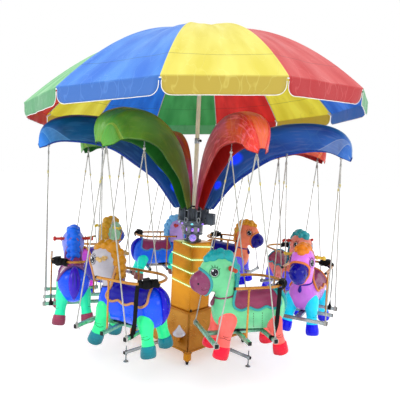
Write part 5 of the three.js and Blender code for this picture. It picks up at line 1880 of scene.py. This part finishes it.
# %% Grips
shaft = turned([(0.0125, 0.060), (0.0125, 0.098), (0.0185, 0.099), (0.020, 0.103), (0.0185, 0.107), (0.0130, 0.109),
                (0.0118, 0.125), (0.0120, 0.150), (0.0120, 0.156), (0, 0.156), (0, 0.060), (0.0125, 0.060)], 22, "Y")
bmesh.ops.translate(shaft, vec=(0.118, 0, 0.978), verts=shaft.verts)
pony.add(shaft, "peg", mirror="Y")
for dx, dz in ((0.0105, 0.005), (-0.0105, -0.004)):
    pony.add(lump((0.118 + dx, 0.158, 0.978 + dz), (0.0150, 0.0135, 0.0150), 0, 3), "peg", mirror="Y")
creased(pony.bm, 50)
pony_mesh = as_mesh("pony_master", pony.bm)
skin.free()
print("One pony has", len(pony_mesh.polygons), "faces")

# %% [markdown]
# The lacquer is one material for all ponies. It reads the colour that each face was given, makes it a little deeper
# in soft clouds, and lets it glow by the amount that is kept in the colour's fourth number. Blown plastic is never
# quite flat, so a slow bump bends the highlights, and a very fine one gives the slight orange peel of sprayed
# lacquer.

# %% Lacquer
pony_lacquer = new_finish("pony_lacquer", 0.2, coat=0.1, gloss=0.25)
paint = node("Attribute", {"attribute_name": "paint"})
where = coordinates()
clouds = cloud(where, 8.0, 3.0)
deeper = mix(1.0, paint.outputs["Color"], (0.80, 0.82, 0.86, 1.0), "MULTIPLY")
lacquer_tone = mix(remap(clouds, 0.38, 0.66), paint.outputs["Color"], deeper)
dust = remap(cloud(where, 55.0, 5.0), 0.66, 0.80, 0.0, 0.15)
feed("Base Color", mix(dust, lacquer_tone, rgb(226, 226, 230)))
feed("Emission Color", lacquer_tone)
inner_light = remap(cloud(where, 4.5, 2.0), 0.3, 0.7, 0.6, 1.25)
feed("Emission Strength", times(paint.outputs["Alpha"], inner_light))
feed("Roughness", remap(cloud(where, 16.0, 4.0), 0.3, 0.7, 0.12, 0.30))
waves = plus(times(cloud(where, 9.0, 1.0), 3.0), times(cloud(where, 260.0, 1.0), 0.06))
bump(waves, 0.25, 0.004)

DARK, PALE = (14, 18, 34), (244, 246, 250)
GLOW = {"body": 0.10, "head": 0.04, "muzzle": 0.02, "leg": 0.20, "hoof": 0.12, "tail": 0.08, "mane": 0.03,
        "saddle": 0.02}
PALETTES = {1: dict(body=(22, 84, 252), head=(178, 174, 182), muzzle=(26, 24, 150), bridle=(196, 138, 84),
                    leg=(46, 232, 142), hoof=(12, 128, 142), mane=(190, 128, 24), tail=(20, 12, 196),
                    saddle=(14, 14, 158), border=(198, 142, 92), peg=(210, 174, 112), collar=(24, 24, 120)),
            2: dict(body=(112, 208, 148), head=(112, 208, 148), muzzle=(142, 66, 102), bridle=(58, 160, 164),
                    leg=(250, 104, 96), hoof=(250, 22, 58), mane=(34, 158, 162), tail=(34, 158, 162),
                    saddle=(150, 66, 98), border=(56, 164, 166), peg=(180, 66, 42), collar=(134, 66, 92)),
            3: dict(body=(196, 112, 222), head=(226, 124, 240), muzzle=(14, 12, 148), bridle=(238, 128, 70),
                    leg=(26, 212, 248), hoof=(18, 22, 246), mane=(232, 130, 32), tail=(224, 120, 40),
                    saddle=(150, 60, 110), border=(236, 136, 60), peg=(222, 188, 62), collar=(24, 20, 150)),
            4: dict(body=(244, 128, 112), head=(250, 142, 122), muzzle=(196, 70, 96), bridle=(60, 120, 170),
                    leg=(96, 90, 246), hoof=(24, 16, 236), mane=(48, 160, 168), tail=(48, 160, 168),
                    saddle=(160, 50, 90), border=(60, 150, 170), peg=(196, 54, 40), collar=(40, 60, 170)),
            5: dict(body=(250, 134, 96), head=(250, 136, 98), muzzle=(22, 18, 144), bridle=(238, 140, 60),
                    leg=(112, 110, 252), hoof=(22, 14, 250), mane=(234, 160, 36), tail=(228, 150, 40),
                    saddle=(20, 18, 140), border=(232, 130, 54), peg=(222, 188, 62), collar=(24, 20, 150)),
            6: dict(body=(30, 108, 248), head=(190, 162, 238), muzzle=(90, 70, 200), bridle=(90, 170, 230),
                    leg=(30, 234, 200), hoof=(142, 92, 80), mane=(112, 186, 244), tail=(20, 30, 200),
                    saddle=(150, 62, 108), border=(70, 150, 220), peg=(200, 60, 50), collar=(60, 60, 190)),
            7: dict(body=(212, 92, 228), head=(160, 218, 172), muzzle=(70, 90, 190), bridle=(214, 160, 50),
                    leg=(236, 60, 232), hoof=(26, 22, 246), mane=(212, 160, 44), tail=(190, 130, 50),
                    saddle=(60, 40, 190), border=(220, 150, 70), peg=(228, 200, 72), collar=(90, 50, 170)),
            8: dict(body=(26, 84, 250), head=(126, 140, 238), muzzle=(142, 66, 128), bridle=(70, 60, 210),
                    leg=(44, 230, 168), hoof=(148, 62, 88), mane=(24, 110, 246), tail=(60, 30, 190),
                    saddle=(150, 62, 118), border=(140, 90, 150), peg=(198, 52, 42), collar=(110, 40, 130)), }
print("Palettes for", len(PALETTES), "ponies")

# %% Eight ponies
SLOT_OF_PONY = {1: "pony_blue", 2: "pony_mint", 3: "pony_orchid", 4: "pony_salmon", 5: "pony_coral", 6: "pony_blue",
                7: "pony_purple", 8: "pony_periwinkle"}
for i in ARMS:
    colours = dict(PALETTES[i], pale=PALE, dark=DARK)
    # The crease tone is the leg colour made dark. At the knee folds and the tail's grooves it is painted shade; it
    # also draws the smile, the freckles and the dashes on the flanks.
    colours["crease"] = tuple(c * 0.32 for c in colours["leg"])
    painted = {PARTS.index(part): rgb(*colour)[:3] + (GLOW.get(part, 0.0),) for part, colour in colours.items()}
    mesh = pony_mesh.copy()
    mesh.name = f"pony_shell_{i}"
    mesh.transform(seat_place(i) @ Matrix.Translation((-0.030, OUT, 0)))
    hoof_index = PARTS.index("hoof")
    paint_layer = mesh.color_attributes.new(name="paint", type="FLOAT_COLOR", domain="CORNER")
    values = []
    for polygon in mesh.polygons:
        colour = painted[polygon.material_index]
        if polygon.material_index == hoof_index:
            lift = min(1.0, max(0.0, (polygon.center.z - HOOF_LOW) / 0.085))
            colour = tuple(c * (0.55 + 0.55 * lift) for c in colour[:3]) + (colour[3],)
        values.extend(colour * polygon.loop_total)
    paint_layer.data.foreach_set("color", values)
    mesh.polygons.foreach_set("material_index", [0] * len(mesh.polygons))
    mesh.materials.clear()
    mesh.materials.append(pony_lacquer)
    obj = as_object(f"pony_shell_{i}", mesh)
    put_on(obj, f"seat_{i}", SLOT_OF_PONY[i], f"pony_{i}")

# %% [markdown]
# ## Floor, sizes and the end
# The floor is a plain pale studio floor. It is marked as stage, so it isn't part of the ride. Last, the size of the
# box of the finished ride is printed.

# %% Floor
studio_floor = bmesh.new()
bmesh.ops.create_circle(studio_floor, cap_ends=True, segments=64, radius=60.0)
floor_mesh = as_mesh("studio_floor", studio_floor)
floor = as_object("studio_floor", floor_mesh)
floor_paint = new_finish("floor_paint", 0.9)
where = coordinates()
feed("Base Color", mix(cloud(where, 1.5), rgb(252, 252, 252), rgb(249, 249, 250)))
constant(Emission_Color=(1.0, 1.0, 1.0, 1.0))
constant(Emission_Strength=0.36)
floor_mesh.materials.append(floor_paint)
floor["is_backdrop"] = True

# %% Sizes
low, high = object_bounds()
print("Finished ride:", [round(size, 3) for size in high - low], "metres")
